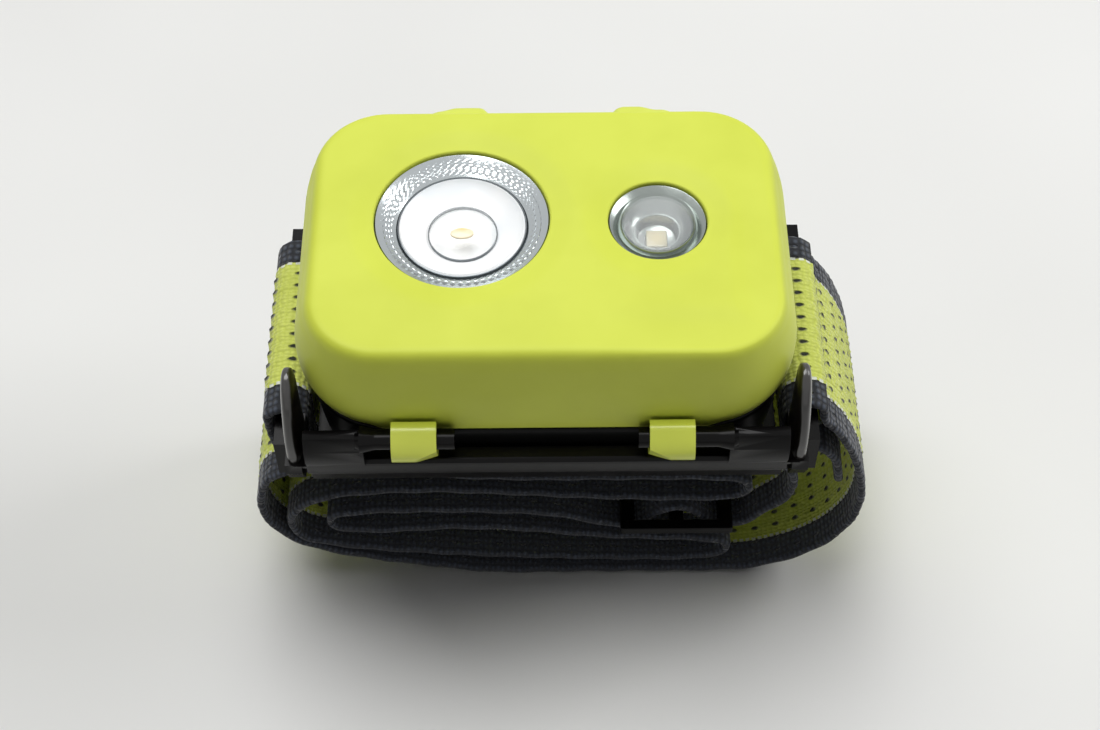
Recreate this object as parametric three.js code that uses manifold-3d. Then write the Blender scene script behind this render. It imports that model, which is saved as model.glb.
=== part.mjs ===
// Headlamp for camping: a two-lens lamp head on a battery cover that tilts on a strap bracket,
// lying face up on its folded headband. Millimetres. X runs along the lamp, Y from its lower edge
// (with the pivot) to its upper edge (with the buttons), Z out of the lenses. The lamp is drawn with
// z = 0 on its front face and is moved at the end, so that the lowest point of the headband lies on
// z = 0 and the outline is centred on the origin.
import * as THREE from "three";
import { mergeVertices } from "three/addons/utils/BufferGeometryUtils.js";
import Module from "manifold-3d";

const wasm = await Module();
wasm.setup();

// ---------- driving dimensions ----------
const CLEAR = 0.3; // gap between pieces that touch
const CELL_RADIUS = 5.25; // AAA cell
const CELL_LENGTH = 44.5;
const CELL_SPACE = 0.5; // between two cells
const CELL_COUNT = 3;
const BODY_X = 33.0; // half length of the lamp at its widest
const BODY_MARGIN = 5.75; // outermost cell to the widest outline, in y
const BODY_OFFSET = -0.45; // centre line of the lamp in y
const FACE_INSET_X = 2.7; // how far the flat face stands in from the widest outline
const FACE_INSET_Y = 1.55;
const FACE_CORNER = 9.0;
const SHELL_DEPTH = 16.0; // front face to the parting line
const COVER_ROOM = 1.4; // depth of the battery cover beyond a cell's diameter
const WALL = 1.6;
const FACE_WALL = 1.8;
const COVER_WALL = 1.5;

const SPOT = { x: -10.95, y: 1.5, radius: 11.5, chip: 1.75 };
const FLOOD = { x: 14.9, y: 0.8, radius: 6.4, chip: 1.5 };
const LENS_RECESS = 1.0; // lens front below the face
const LENS_FLANGE = 1.4; // how far a lens flange reaches past its window
const FLANGE_TOP = -3.2;
const FLANGE_THICK = 1.0;
const SEAL_THICK = 0.7;
const LED_BOARD_TOP = -10.2;
const LED_BOARD_THICK = 1.0;
const MAIN_BOARD_TOP = -12.0;
const MAIN_BOARD_THICK = 1.0;
const CHASSIS_TOP = -13.5;
const CHASSIS_THICK = 1.7;

const SCREW_X = 24.0; // screw posts, either side of the middle
const SCREW_Y = 13.8;
const POST_RADIUS = 2.2;
const SCREW_RADIUS = 0.9;
const SCREW_HEAD = 1.8;

const BUTTON_WIDTH = 9.9;
const BUTTON_HEIGHT = 4.6;
const BUTTON_Z = -4.2;
const BUTTON_PROUD = 1.5; // shoulder above the side wall
const PAD_PROUD = 0.7; // pad above the shoulder
const BUTTONS = [
  { name: "spot", x: -11.65, pad: -10.2, padWidth: 4.4 },
  { name: "flood", x: 13.7, pad: 11.5, padWidth: 4.0 },
];
const SWITCH_BOARD_INSET = 6.8; // from the widest outline
const SWITCH_BOARD_THICK = 0.8;
const BUTTON_TRAVEL = 0.8;

const CONTACT_GAP = 3.0; // between a cell's end and its contact plate
const CONTACT_PLATE = 0.5;

const HINGE_RADIUS = 1.45; // barrel of the battery cover hinge
const HINGE_PIN = 0.6;
const HINGE_HALF = 12.0;
const HINGE_MIDDLE = 4.0;

const PIVOT_OUT = 1.15; // pivot axis beyond the widest outline
const PIVOT_RISE = 0.6; // and in front of the parting line
const PIVOT_RADIUS = 1.4;
const HOOKS = [-17.25, 16.35]; // middle of each hook along x
const HOOK_WIDTH = 5.9;
const POCKET_INNER = 13.0; // pockets in the bracket that the hooks swing in
const POCKET_OUTER = 24.0;
const POCKET_RADIUS = 4.3;

const PLATE_GAP = 0.6; // battery cover to the bracket's back plate
const PLATE_THICK = 1.8;
const STRAP_WIDTH = 30.0;
const STRAP_THICK = 1.6;
const STRAP_CLEAR = 0.45; // headband to plastic
const BAR_WIDTH = 2.7; // side bar that the headband goes round
const BAR_THICK = 2.6;
const BAR_RISE = 4.5; // underside of the bar above the underside of the plate
const ARM_WIDTH = 3.5;
const EAR_THICK = 2.2;

const SLIDER = { x: 19.0, depth: 19.8, pitch: 7.2, bar: 1.1, half: 0.8 };

// ---------- values that follow ----------
const CELL_PITCH = 2 * CELL_RADIUS + CELL_SPACE;
const BODY_Y = ((CELL_COUNT - 1) / 2) * CELL_PITCH + CELL_RADIUS + BODY_MARGIN;
const COVER_DEPTH = 2 * CELL_RADIUS + COVER_ROOM;
const SWITCH_BOARD_Y = BODY_Y - SWITCH_BOARD_INSET;
const PARTING = -SHELL_DEPTH;
const PIVOT = { y: BODY_OFFSET - BODY_Y - PIVOT_OUT, z: PARTING + PIVOT_RISE, radius: PIVOT_RADIUS };
const COVER_BACK = PARTING - CLEAR - COVER_DEPTH;
const FACE_X = BODY_X - FACE_INSET_X;
const FACE_Y = BODY_Y - FACE_INSET_Y;
const PLATE_TOP = COVER_BACK - PLATE_GAP;
const PLATE_UNDER = PLATE_TOP - PLATE_THICK;
const PLATE_X = BODY_X - 1.1;
const SLOT = STRAP_THICK + 2 * STRAP_CLEAR;
const BAR_X = PLATE_X + SLOT + BAR_WIDTH / 2;
const BAR_UNDER = PLATE_UNDER + BAR_RISE;
const STRAP_HALF = STRAP_WIDTH / 2;
const ARM_INNER = STRAP_HALF + STRAP_CLEAR;
const HINGE = { y: BODY_Y + BODY_OFFSET + 1.35, z: PARTING - CLEAR / 2 };
const HOOK_REACH = PIVOT.radius + CLEAR + 0.1;

// ---------- helpers ----------
const X_AXIS = new THREE.Vector3(1, 0, 0);
const Y_AXIS = new THREE.Vector3(0, 1, 0);
const Z_AXIS = new THREE.Vector3(0, 0, 1);

// A closed geometry as a manifold solid.
function toSolid(geometry) {
  const bare = geometry.index ? geometry.toNonIndexed() : geometry.clone();
  bare.deleteAttribute("normal");
  bare.deleteAttribute("uv");
  const merged = mergeVertices(bare, 1e-4);
  return new wasm.Manifold(
    new wasm.Mesh({
      numProp: 3,
      vertProperties: merged.attributes.position.array,
      triVerts: new Uint32Array(merged.index.array),
    }),
  );
}

// A manifold solid as a geometry with flat faces.
function toGeometry(solid) {
  const mesh = solid.getMesh();
  const geometry = new THREE.BufferGeometry();
  geometry.setAttribute("position", new THREE.BufferAttribute(mesh.vertProperties, 3));
  geometry.setIndex(new THREE.BufferAttribute(mesh.triVerts, 1));
  const flat = geometry.toNonIndexed();
  flat.computeVertexNormals();
  return flat;
}

function join(...pieces) {
  return toGeometry(pieces.map(toSolid).reduce((all, next) => all.add(next)));
}

function cut(piece, ...tools) {
  return toGeometry(tools.map(toSolid).reduce((left, tool) => left.subtract(tool), toSolid(piece)));
}

// A box between two corners.
function block(x0, x1, y0, y1, z0, z1) {
  const box = new THREE.BoxGeometry(x1 - x0, y1 - y0, z1 - z0);
  return box.translate((x0 + x1) / 2, (y0 + y1) / 2, (z0 + z1) / 2);
}

// A cylinder or cone along z, from z0 to z1.
function upright(x, y, z0, z1, radius, topRadius = radius, sides = 32) {
  const body = new THREE.CylinderGeometry(topRadius, radius, z1 - z0, sides);
  return body.rotateX(Math.PI / 2).translate(x, y, (z0 + z1) / 2);
}

// A cylinder or cone along x, from x0 to x1.
function lying(x0, x1, y, z, radius, farRadius = radius, sides = 24) {
  const body = new THREE.CylinderGeometry(farRadius, radius, x1 - x0, sides);
  return body.rotateZ(-Math.PI / 2).translate((x0 + x1) / 2, y, z);
}

// A ring or disc turned about an upright axis; the profile holds [radius, z] pairs, from the bottom up.
function turned(x, y, profile, sides = 40) {
  const points = profile.map(([radius, z]) => new THREE.Vector2(radius, z));
  return new THREE.LatheGeometry(points, sides).rotateX(Math.PI / 2).translate(x, y, 0);
}

// An outline in the y-z plane carried along x.
function alongX(outline, x0, x1) {
  const shape = new THREE.Shape(outline.map(([y, z]) => new THREE.Vector2(y, z)));
  const bar = new THREE.ExtrudeGeometry(shape, { depth: x1 - x0, bevelEnabled: false });
  return bar.applyMatrix4(new THREE.Matrix4().makeBasis(Y_AXIS, Z_AXIS, X_AXIS)).translate(x0, 0, 0);
}

// A box with rounded upright edges.
function slab(halfX, halfY, corner, z0, z1, x = 0, y = BODY_OFFSET) {
  const row = { hx: halfX, hy: halfY, corner };
  return loft([{ ...row, z: z1 }, { ...row, z: z0 }]).translate(x, y - BODY_OFFSET, 0);
}

// A body through a stack of rounded rectangles, each { z, hx, hy, corner }, from the top one down.
function loft(rows) {
  const steps = 6;
  const ring = 4 * (steps + 1);
  const body = new THREE.CylinderGeometry(1, 1, 1, ring, rows.length - 1);
  const position = body.attributes.position;
  for (let i = 0; i < position.count; i += 1) {
    const radius = Math.hypot(position.getX(i), position.getZ(i));
    const turn = Math.atan2(position.getX(i), position.getZ(i)) / (2 * Math.PI);
    const k = ((Math.round(turn * ring) % ring) + ring) % ring;
    const row = rows[Math.round((0.5 - position.getY(i)) * (rows.length - 1))];
    const quarter = Math.floor(k / (steps + 1));
    const angle = ((quarter + (k % (steps + 1)) / steps) * Math.PI) / 2;
    const sideX = quarter === 0 || quarter === 3 ? 1 : -1;
    const sideY = quarter < 2 ? 1 : -1;
    const x = sideX * (row.hx - row.corner) + row.corner * Math.cos(angle);
    const y = sideY * (row.hy - row.corner) + row.corner * Math.sin(angle);
    const onEdge = radius > 0.5 ? 1 : 0;
    position.setXYZ(i, onEdge * x, BODY_OFFSET + onEdge * y, row.z);
  }
  return body;
}

const materials = {
  softShell: { color: 0xc9d63a, roughness: 0.62, metalness: 0 },
  glossShell: { color: 0xd3e03c, roughness: 0.28, metalness: 0 },
  smokePlastic: { color: 0x17151a, roughness: 0.2, metalness: 0 },
  blackPlastic: { color: 0x1d1e20, roughness: 0.55, metalness: 0 },
  whitePlastic: { color: 0xe8e8e4, roughness: 0.45, metalness: 0 },
  clearOptic: { color: 0xe6ecee, roughness: 0.08, metalness: 0 },
  phosphor: { color: 0xf2d27a, roughness: 0.5, metalness: 0 },
  boardGreen: { color: 0x1d5a3a, roughness: 0.5, metalness: 0 },
  aluminium: { color: 0xb9bcc0, roughness: 0.4, metalness: 1 },
  steel: { color: 0xc4c6c8, roughness: 0.3, metalness: 1 },
  gold: { color: 0xd2a84a, roughness: 0.3, metalness: 1 },
  silicone: { color: 0x3a3c3e, roughness: 0.8, metalness: 0 },
  cellLabel: { color: 0x4b5660, roughness: 0.4, metalness: 0.2 },
  webbing: { color: 0x273047, roughness: 0.9, metalness: 0 },
};

const lamp = new THREE.Group();

function add(name, geometry, material) {
  const mesh = new THREE.Mesh(geometry, new THREE.MeshStandardMaterial(materials[material]));
  mesh.name = name;
  lamp.add(mesh);
}

// ---------- lamp head ----------
const SHELL_ROWS = [
  { z: 0, hx: FACE_X, hy: FACE_Y, corner: FACE_CORNER },
  { z: -0.9, hx: FACE_X + 0.9, hy: FACE_Y + 0.85, corner: FACE_CORNER + 0.9 },
  { z: -4, hx: BODY_X - 0.8, hy: BODY_Y - 0.4, corner: FACE_CORNER + 1.8 },
  { z: -9, hx: BODY_X, hy: BODY_Y, corner: FACE_CORNER + 2.5 },
  { z: -13, hx: BODY_X - 0.4, hy: BODY_Y - 0.2, corner: FACE_CORNER + 2.2 },
  { z: PARTING, hx: BODY_X - 1.4, hy: BODY_Y - 0.7, corner: FACE_CORNER + 1.5 },
];

function shrink(row, by) {
  return { z: row.z, hx: row.hx - by, hy: row.hy - by, corner: row.corner - by };
}

const farWall = BODY_Y + BODY_OFFSET - 0.4; // outside of the upper wall at the buttons
const SCREWS = [1, -1].flatMap((sy) => [1, -1].map((sx) => [sx * SCREW_X, BODY_OFFSET + sy * SCREW_Y]));

// A hinge barrel between x0 and x1 with a web to the wall on its own side of the parting line.
function barrel(x0, x1, side) {
  const webInner = BODY_Y + BODY_OFFSET - 0.7 - WALL / 2;
  const near = HINGE.z + (side * CLEAR) / 2;
  const far = HINGE.z + side * HINGE_RADIUS * 0.9;
  const web = block(x0, x1, webInner, HINGE.y, Math.min(near, far), Math.max(near, far));
  const bore = lying(x0 - 1, x1 + 1, HINGE.y, HINGE.z, HINGE_PIN + CLEAR);
  return cut(join(lying(x0, x1, HINGE.y, HINGE.z, HINGE_RADIUS), web), bore);
}

function frontShell() {
  const inside = SHELL_ROWS.slice(1).map((row) => shrink(row, WALL));
  inside[0].z = -FACE_WALL;
  inside[inside.length - 1].z = PARTING - 1;
  const lensHoles = [SPOT, FLOOD].map((lens) => {
    return upright(lens.x, lens.y, -FACE_WALL - 1, 1, lens.radius + CLEAR, lens.radius + CLEAR, 40);
  });
  const buttonHoles = BUTTONS.map((button) => {
    const half = BUTTON_WIDTH / 2 + CLEAR;
    const low = BUTTON_Z - BUTTON_HEIGHT / 2 - CLEAR;
    const high = BUTTON_Z + BUTTON_HEIGHT / 2 + CLEAR;
    return block(button.x - half, button.x + half, farWall - 3, farWall + 4, low, high);
  });
  const posts = SCREWS.map(([x, y]) => {
    const post = upright(x, y, CHASSIS_TOP + CLEAR, -FACE_WALL + 0.5, POST_RADIUS, POST_RADIUS, 16);
    const pilot = SCREW_RADIUS + CLEAR;
    return cut(post, upright(x, y, CHASSIS_TOP, -FACE_WALL - 2, pilot, pilot, 12));
  });
  const skin = cut(loft(SHELL_ROWS), loft(inside), ...lensHoles, ...buttonHoles);
  const outerBarrels = [-1, 1].map((side) => {
    const inner = side * (HINGE_MIDDLE + CLEAR);
    const outer = side * HINGE_HALF;
    return barrel(Math.min(inner, outer), Math.max(inner, outer), 1);
  });
  return join(skin, ...posts, ...outerBarrels);
}

// A total-internal-reflection lens: a disc in the window, a flange behind it and a cone that narrows
// to the chip.
function lensBody(lens, coneBack, cupRadius, cupDepth) {
  return turned(lens.x, lens.y, [
    [0, coneBack + cupDepth],
    [cupRadius * 0.8, coneBack + cupDepth],
    [cupRadius, coneBack],
    [cupRadius + 1.0, coneBack],
    [lens.radius - 0.8, FLANGE_TOP - FLANGE_THICK],
    [lens.radius + LENS_FLANGE, FLANGE_TOP - FLANGE_THICK],
    [lens.radius + LENS_FLANGE, FLANGE_TOP],
    [lens.radius, FLANGE_TOP],
    [lens.radius, -LENS_RECESS],
    [0, -LENS_RECESS],
  ]);
}

// The cup that holds a lens over its chip, from the flange down to the board.
function lensHolder(lens, coneBack, cupRadius) {
  const top = FLANGE_TOP - FLANGE_THICK - CLEAR;
  const bottom = LED_BOARD_TOP + CLEAR;
  const outer = lens.radius + LENS_FLANGE;
  return turned(lens.x, lens.y, [
    [cupRadius + 1.0 + CLEAR, bottom],
    [outer, bottom],
    [outer, top],
    [lens.radius - 0.8 + CLEAR, top],
    [cupRadius + 1.0 + CLEAR, coneBack],
    [cupRadius + 1.0 + CLEAR, bottom],
  ]);
}

function lensSeal(lens) {
  const low = FLANGE_TOP + CLEAR;
  const high = low + SEAL_THICK;
  const inner = lens.radius + CLEAR;
  const outer = lens.radius + LENS_FLANGE;
  return turned(lens.x, lens.y, [[inner, low], [outer, low], [outer, high], [inner, high], [inner, low]]);
}

function ledPackage(lens) {
  const low = LED_BOARD_TOP + CLEAR;
  const half = lens.chip;
  const base = block(lens.x - half, lens.x + half, lens.y - half, lens.y + half, low, low + 0.7);
  return join(base, upright(lens.x, lens.y, low + 0.6, low + 1.3, half * 0.85, half * 0.45, 16));
}

const holesAtPosts = (z0, z1, radius) => SCREWS.map(([x, y]) => upright(x, y, z0, z1, radius, radius, 16));

function ledBoard() {
  const left = SPOT.x - SPOT.radius - LENS_FLANGE;
  const right = FLOOD.x + FLOOD.radius + LENS_FLANGE;
  const low = LED_BOARD_TOP - LED_BOARD_THICK;
  const half = SPOT.radius + LENS_FLANGE;
  const plate = slab((right - left) / 2, half, 2.5, low, LED_BOARD_TOP, (left + right) / 2, SPOT.y);
  return cut(plate, ...holesAtPosts(low - 1, LED_BOARD_TOP + 1, POST_RADIUS + CLEAR));
}

function mainBoard() {
  const low = MAIN_BOARD_TOP - MAIN_BOARD_THICK;
  const plate = slab(BODY_X - 4.2, BODY_Y - 5, 7, low, MAIN_BOARD_TOP);
  const board = cut(plate, ...holesAtPosts(low - 1, MAIN_BOARD_TOP + 1, POST_RADIUS + CLEAR));
  const edge = BODY_OFFSET - BODY_Y + 6.2;
  const coil = block(12, 17, edge, edge + 4.6, MAIN_BOARD_TOP - 0.2, MAIN_BOARD_TOP + 2.6);
  const chip = block(-4, 1, edge, edge + 4, MAIN_BOARD_TOP - 0.2, MAIN_BOARD_TOP + 1.2);
  const capacitor = block(5, 8, edge + 1, edge + 3, MAIN_BOARD_TOP - 0.2, MAIN_BOARD_TOP + 1.6);
  return join(board, coil, chip, capacitor);
}

const POWER_PIN_X = BODY_X - 5.4;
const POWER_PIN_RADIUS = 0.7;

function chassis() {
  const low = CHASSIS_TOP - CHASSIS_THICK;
  const plate = slab(BODY_X - WALL - 1.5, BODY_Y - WALL - 0.8, 9, low, CHASSIS_TOP);
  const pinHoles = [-1, 1].map((side) => {
    const radius = POWER_PIN_RADIUS + CLEAR;
    return upright(side * POWER_PIN_X, 0, low - 1, CHASSIS_TOP + 1, radius, radius, 12);
  });
  const through = holesAtPosts(low - 1, CHASSIS_TOP + 1, SCREW_RADIUS + CLEAR);
  const sinks = holesAtPosts(low - 1, low + 1, SCREW_HEAD + CLEAR);
  return cut(plate, ...pinHoles, ...through, ...sinks);
}

function chassisScrew([x, y]) {
  const low = CHASSIS_TOP - CHASSIS_THICK + 0.1;
  const head = upright(x, y, low, low + 0.6, SCREW_HEAD, SCREW_HEAD, 16);
  return join(head, upright(x, y, low + 0.5, CHASSIS_TOP + 6, SCREW_RADIUS, SCREW_RADIUS, 12));
}

function batterySeal() {
  const high = CHASSIS_TOP - CHASSIS_THICK - CLEAR;
  const low = high - 1.0;
  const ring = slab(BODY_X - WALL - 1.6, BODY_Y - WALL - 0.9, 9, low, high);
  return cut(ring, slab(BODY_X - WALL - 2.8, BODY_Y - WALL - 2.1, 8, low - 1, high + 1));
}

function switchBoard() {
  const left = BUTTONS[0].x - 6;
  const right = BUTTONS[1].x + 5;
  const far = SWITCH_BOARD_Y + SWITCH_BOARD_THICK;
  return block(left, right, SWITCH_BOARD_Y, far, BUTTON_Z - 4, BUTTON_Z + 1.9);
}

const BUTTON_BACK = farWall - WALL - 1.2;

function tactSwitch(button) {
  const low = SWITCH_BOARD_Y + SWITCH_BOARD_THICK + CLEAR;
  const top = BUTTON_BACK - BUTTON_TRAVEL - 0.1;
  const body = block(button.x - 2.2, button.x + 2.2, low, low + 0.7, BUTTON_Z - 1.6, BUTTON_Z + 1.6);
  const plunger = new THREE.CylinderGeometry(1, 1, top - low - 0.5, 12);
  return join(body, plunger.translate(button.x, (top + low + 0.5) / 2, BUTTON_Z));
}

function pushButton(button) {
  const half = BUTTON_WIDTH / 2;
  const low = BUTTON_Z - BUTTON_HEIGHT / 2;
  const high = BUTTON_Z + BUTTON_HEIGHT / 2;
  const shoulder = farWall + BUTTON_PROUD;
  const stem = block(button.x - half, button.x + half, BUTTON_BACK + 0.5, shoulder - 0.6, low, high);
  const inset = half - 0.8;
  const top = block(button.x - inset, button.x + inset, shoulder - 0.7, shoulder, low + 0.6, high - 0.6);
  const padHalf = button.padWidth / 2;
  const padTop = shoulder + PAD_PROUD;
  const pad = block(button.pad - padHalf, button.pad + padHalf, shoulder - 0.1, padTop, low + 1, high - 1);
  const lipHalf = half + 0.7;
  const lip = block(button.x - lipHalf, button.x + lipHalf, BUTTON_BACK, BUTTON_BACK + 0.6, low - 0.7, high);
  return join(stem, top, pad, lip);
}

add("front_shell", frontShell(), "softShell");
add("spot_lens", lensBody(SPOT, -9.2, 3.2, 3.0), "clearOptic");
add("flood_lens", lensBody(FLOOD, -8.0, 2.3, 1.6), "clearOptic");
add("spot_lens_holder", lensHolder(SPOT, -9.2, 3.2), "whitePlastic");
add("flood_lens_holder", lensHolder(FLOOD, -8.0, 2.3), "whitePlastic");
add("spot_lens_seal", lensSeal(SPOT), "silicone");
add("flood_lens_seal", lensSeal(FLOOD), "silicone");
add("spot_led", ledPackage(SPOT), "phosphor");
add("flood_led", ledPackage(FLOOD), "phosphor");
add("led_board", ledBoard(), "aluminium");
add("main_board", mainBoard(), "boardGreen");
add("chassis", chassis(), "blackPlastic");
add("battery_seal", batterySeal(), "silicone");
add("switch_board", switchBoard(), "boardGreen");
SCREWS.forEach((place, i) => add("chassis_screw_" + (i + 1), chassisScrew(place), "steel"));
BUTTONS.forEach((button) => {
  add(button.name + "_switch", tactSwitch(button), "blackPlastic");
  add(button.name + "_button", pushButton(button), "softShell");
});
[-1, 1].forEach((side) => {
  const top = MAIN_BOARD_TOP - MAIN_BOARD_THICK - CLEAR;
  const pin = upright(side * POWER_PIN_X, 0, PARTING - 0.9, top, POWER_PIN_RADIUS, POWER_PIN_RADIUS, 12);
  add(side < 0 ? "power_pin_minus" : "power_pin_plus", pin, "gold");
});

// ---------- battery cover ----------
const COVER_ROWS = [
  { z: PARTING - CLEAR, hx: BODY_X - 1.4, hy: BODY_Y - 0.7, corner: FACE_CORNER + 1.5 },
  { z: PARTING - CLEAR - COVER_DEPTH * 0.3, hx: BODY_X - 1.8, hy: BODY_Y - 1.0, corner: FACE_CORNER + 1.2 },
  { z: COVER_BACK + 1.7, hx: BODY_X - 2.8, hy: BODY_Y - 1.8, corner: FACE_CORNER + 0.5 },
  { z: COVER_BACK, hx: BODY_X - 4.3, hy: BODY_Y - 3.1, corner: FACE_CORNER - 0.5 },
];

// A snap hook from the cover's wall round the outside of a pivot stub to just short of the front shell.
function hook(x) {
  const x0 = x - HOOK_WIDTH / 2;
  const x1 = x + HOOK_WIDTH / 2;
  const wall = BODY_OFFSET - BODY_Y + 0.7;
  const round = [
    [1.2, -3.6],
    [-1.2, -2.8],
    [-2.3, -2.1],
    [-2.85, -0.6],
    [-2.7, 1.1],
    [-1.7, 2.4],
    [-0.3, 2.85],
    [0.9, 2.6],
  ].map(([y, z]) => [PIVOT.y + y, PIVOT.z + z]);
  const blob = alongX([[wall + 1.0, PARTING - 0.6], [wall + 1.0, PARTING - 3.3], ...round], x0, x1);
  const seat = lying(x0 - 1, x1 + 1, PIVOT.y, PIVOT.z, HOOK_REACH);
  const mouth = block(x0 - 1, x1 + 1, PIVOT.y + 0.9, wall + 2, PARTING - 0.3, PIVOT.z + 5);
  return cut(blob, seat, mouth);
}

function batteryCover() {
  const inside = COVER_ROWS.map((row) => shrink(row, COVER_WALL));
  inside[0].z += 1;
  inside[inside.length - 1].z = COVER_BACK + COVER_WALL - 0.1;
  const cavity = loft(inside);
  const hooks = HOOKS.map(hook);
  return join(cut(join(loft(COVER_ROWS), ...hooks), cavity), barrel(-HINGE_MIDDLE, HINGE_MIDDLE, -1));
}

const CELL_Z = COVER_BACK + COVER_WALL + CLEAR + CELL_RADIUS;
const CELL_ROWS = Array.from({ length: CELL_COUNT }, (_, i) => {
  return BODY_OFFSET + (i - (CELL_COUNT - 1) / 2) * CELL_PITCH;
});
const cellSide = (i) => (i % 2 === 0 ? 1 : -1); // which way a cell's raised end points

function cell(i) {
  const y = CELL_ROWS[i];
  const side = cellSide(i);
  const half = CELL_LENGTH / 2;
  const along = (near, far) => (side > 0 ? [near, far] : [-far, -near]);
  const can = lying(...along(-half, half - 1), y, CELL_Z, CELL_RADIUS);
  const nub = lying(...along(half - 1.2, half), y, CELL_Z, 1.9);
  return join(can, nub);
}

const CONTACT_X = CELL_LENGTH / 2 + CONTACT_GAP;
const CONTACT_HALF = CELL_RADIUS - 1.05;

function contactPlate(i, side) {
  const y = CELL_ROWS[i];
  const x0 = side > 0 ? CONTACT_X : -CONTACT_X - CONTACT_PLATE;
  const z0 = CELL_Z - CONTACT_HALF;
  return block(x0, x0 + CONTACT_PLATE, y - CONTACT_HALF, y + CONTACT_HALF, z0, z0 + 2 * CONTACT_HALF);
}

// A conical coil from the contact plate to the flat end of a cell.
function contactSpring(i) {
  const side = -cellSide(i);
  const turns = 3;
  const path = new THREE.Curve();
  path.getPoint = (t) => {
    const angle = turns * 2 * Math.PI * t;
    const radius = 3.4 - 1.4 * t;
    const x = side * (CONTACT_X + 0.1 - (CONTACT_GAP - 0.7) * t);
    return new THREE.Vector3(x, CELL_ROWS[i] + radius * Math.cos(angle), CELL_Z + radius * Math.sin(angle));
  };
  const wire = new THREE.Shape();
  wire.absarc(0, 0, 0.32, 0, 2 * Math.PI);
  const coil = new THREE.ExtrudeGeometry(wire, { steps: 42, curveSegments: 3, extrudePath: path });
  return join(coil, contactPlate(i, side));
}

function contactStud(i) {
  const side = cellSide(i);
  const tip = CELL_LENGTH / 2 + CLEAR;
  const stud = side > 0 ? [tip, CONTACT_X + 0.2] : [-CONTACT_X - 0.2, -tip];
  return join(lying(stud[0], stud[1], CELL_ROWS[i], CELL_Z, 1.6), contactPlate(i, side));
}

// The end block that the contact plates of one side lie against.
function contactBlock(side) {
  const inner = CONTACT_X + CONTACT_PLATE + CLEAR;
  const outer = BODY_X - 2.8 - COVER_WALL - 0.5;
  const y0 = BODY_OFFSET - CELL_PITCH;
  const y1 = BODY_OFFSET + CELL_PITCH;
  const z0 = COVER_BACK + COVER_WALL + CLEAR;
  const x0 = side > 0 ? inner : -outer;
  return block(x0, x0 + outer - inner, y0, y1, z0, PARTING - 1.2);
}

add("battery_cover", batteryCover(), "glossShell");
add("cover_hinge_pin", lying(-HINGE_HALF, HINGE_HALF, HINGE.y, HINGE.z, HINGE_PIN, HINGE_PIN, 12), "steel");
for (let i = 0; i < CELL_COUNT; i += 1) {
  add("battery_cell_" + (i + 1), cell(i), "cellLabel");
  add("contact_spring_" + (i + 1), contactSpring(i), "steel");
  add("contact_stud_" + (i + 1), contactStud(i), "steel");
}
add("contact_block_left", contactBlock(-1), "blackPlastic");
add("contact_block_right", contactBlock(1), "blackPlastic");

// ---------- bracket ----------
// The fin beside the lamp's lower corner, as [y, z] from the pivot: a rounded tip on a foot that
// meets the side bar.
const EAR_OUTLINE = [
  [-0.8, -7.0],
  [-0.4, -2.1],
  [1.2, 2.4],
  [3.4, 5.6],
  [5.2, 6.8],
  [6.6, 6.5],
  [7.5, 5.0],
  [7.8, 1.9],
  [7.8, -10.6],
  [1.0, -10.6],
].map(([y, z]) => [PIVOT.y + y, PIVOT.z + z]);
const EAR_X = BODY_X - 0.4;
const BULK_X = EAR_X + 1.0;

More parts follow.
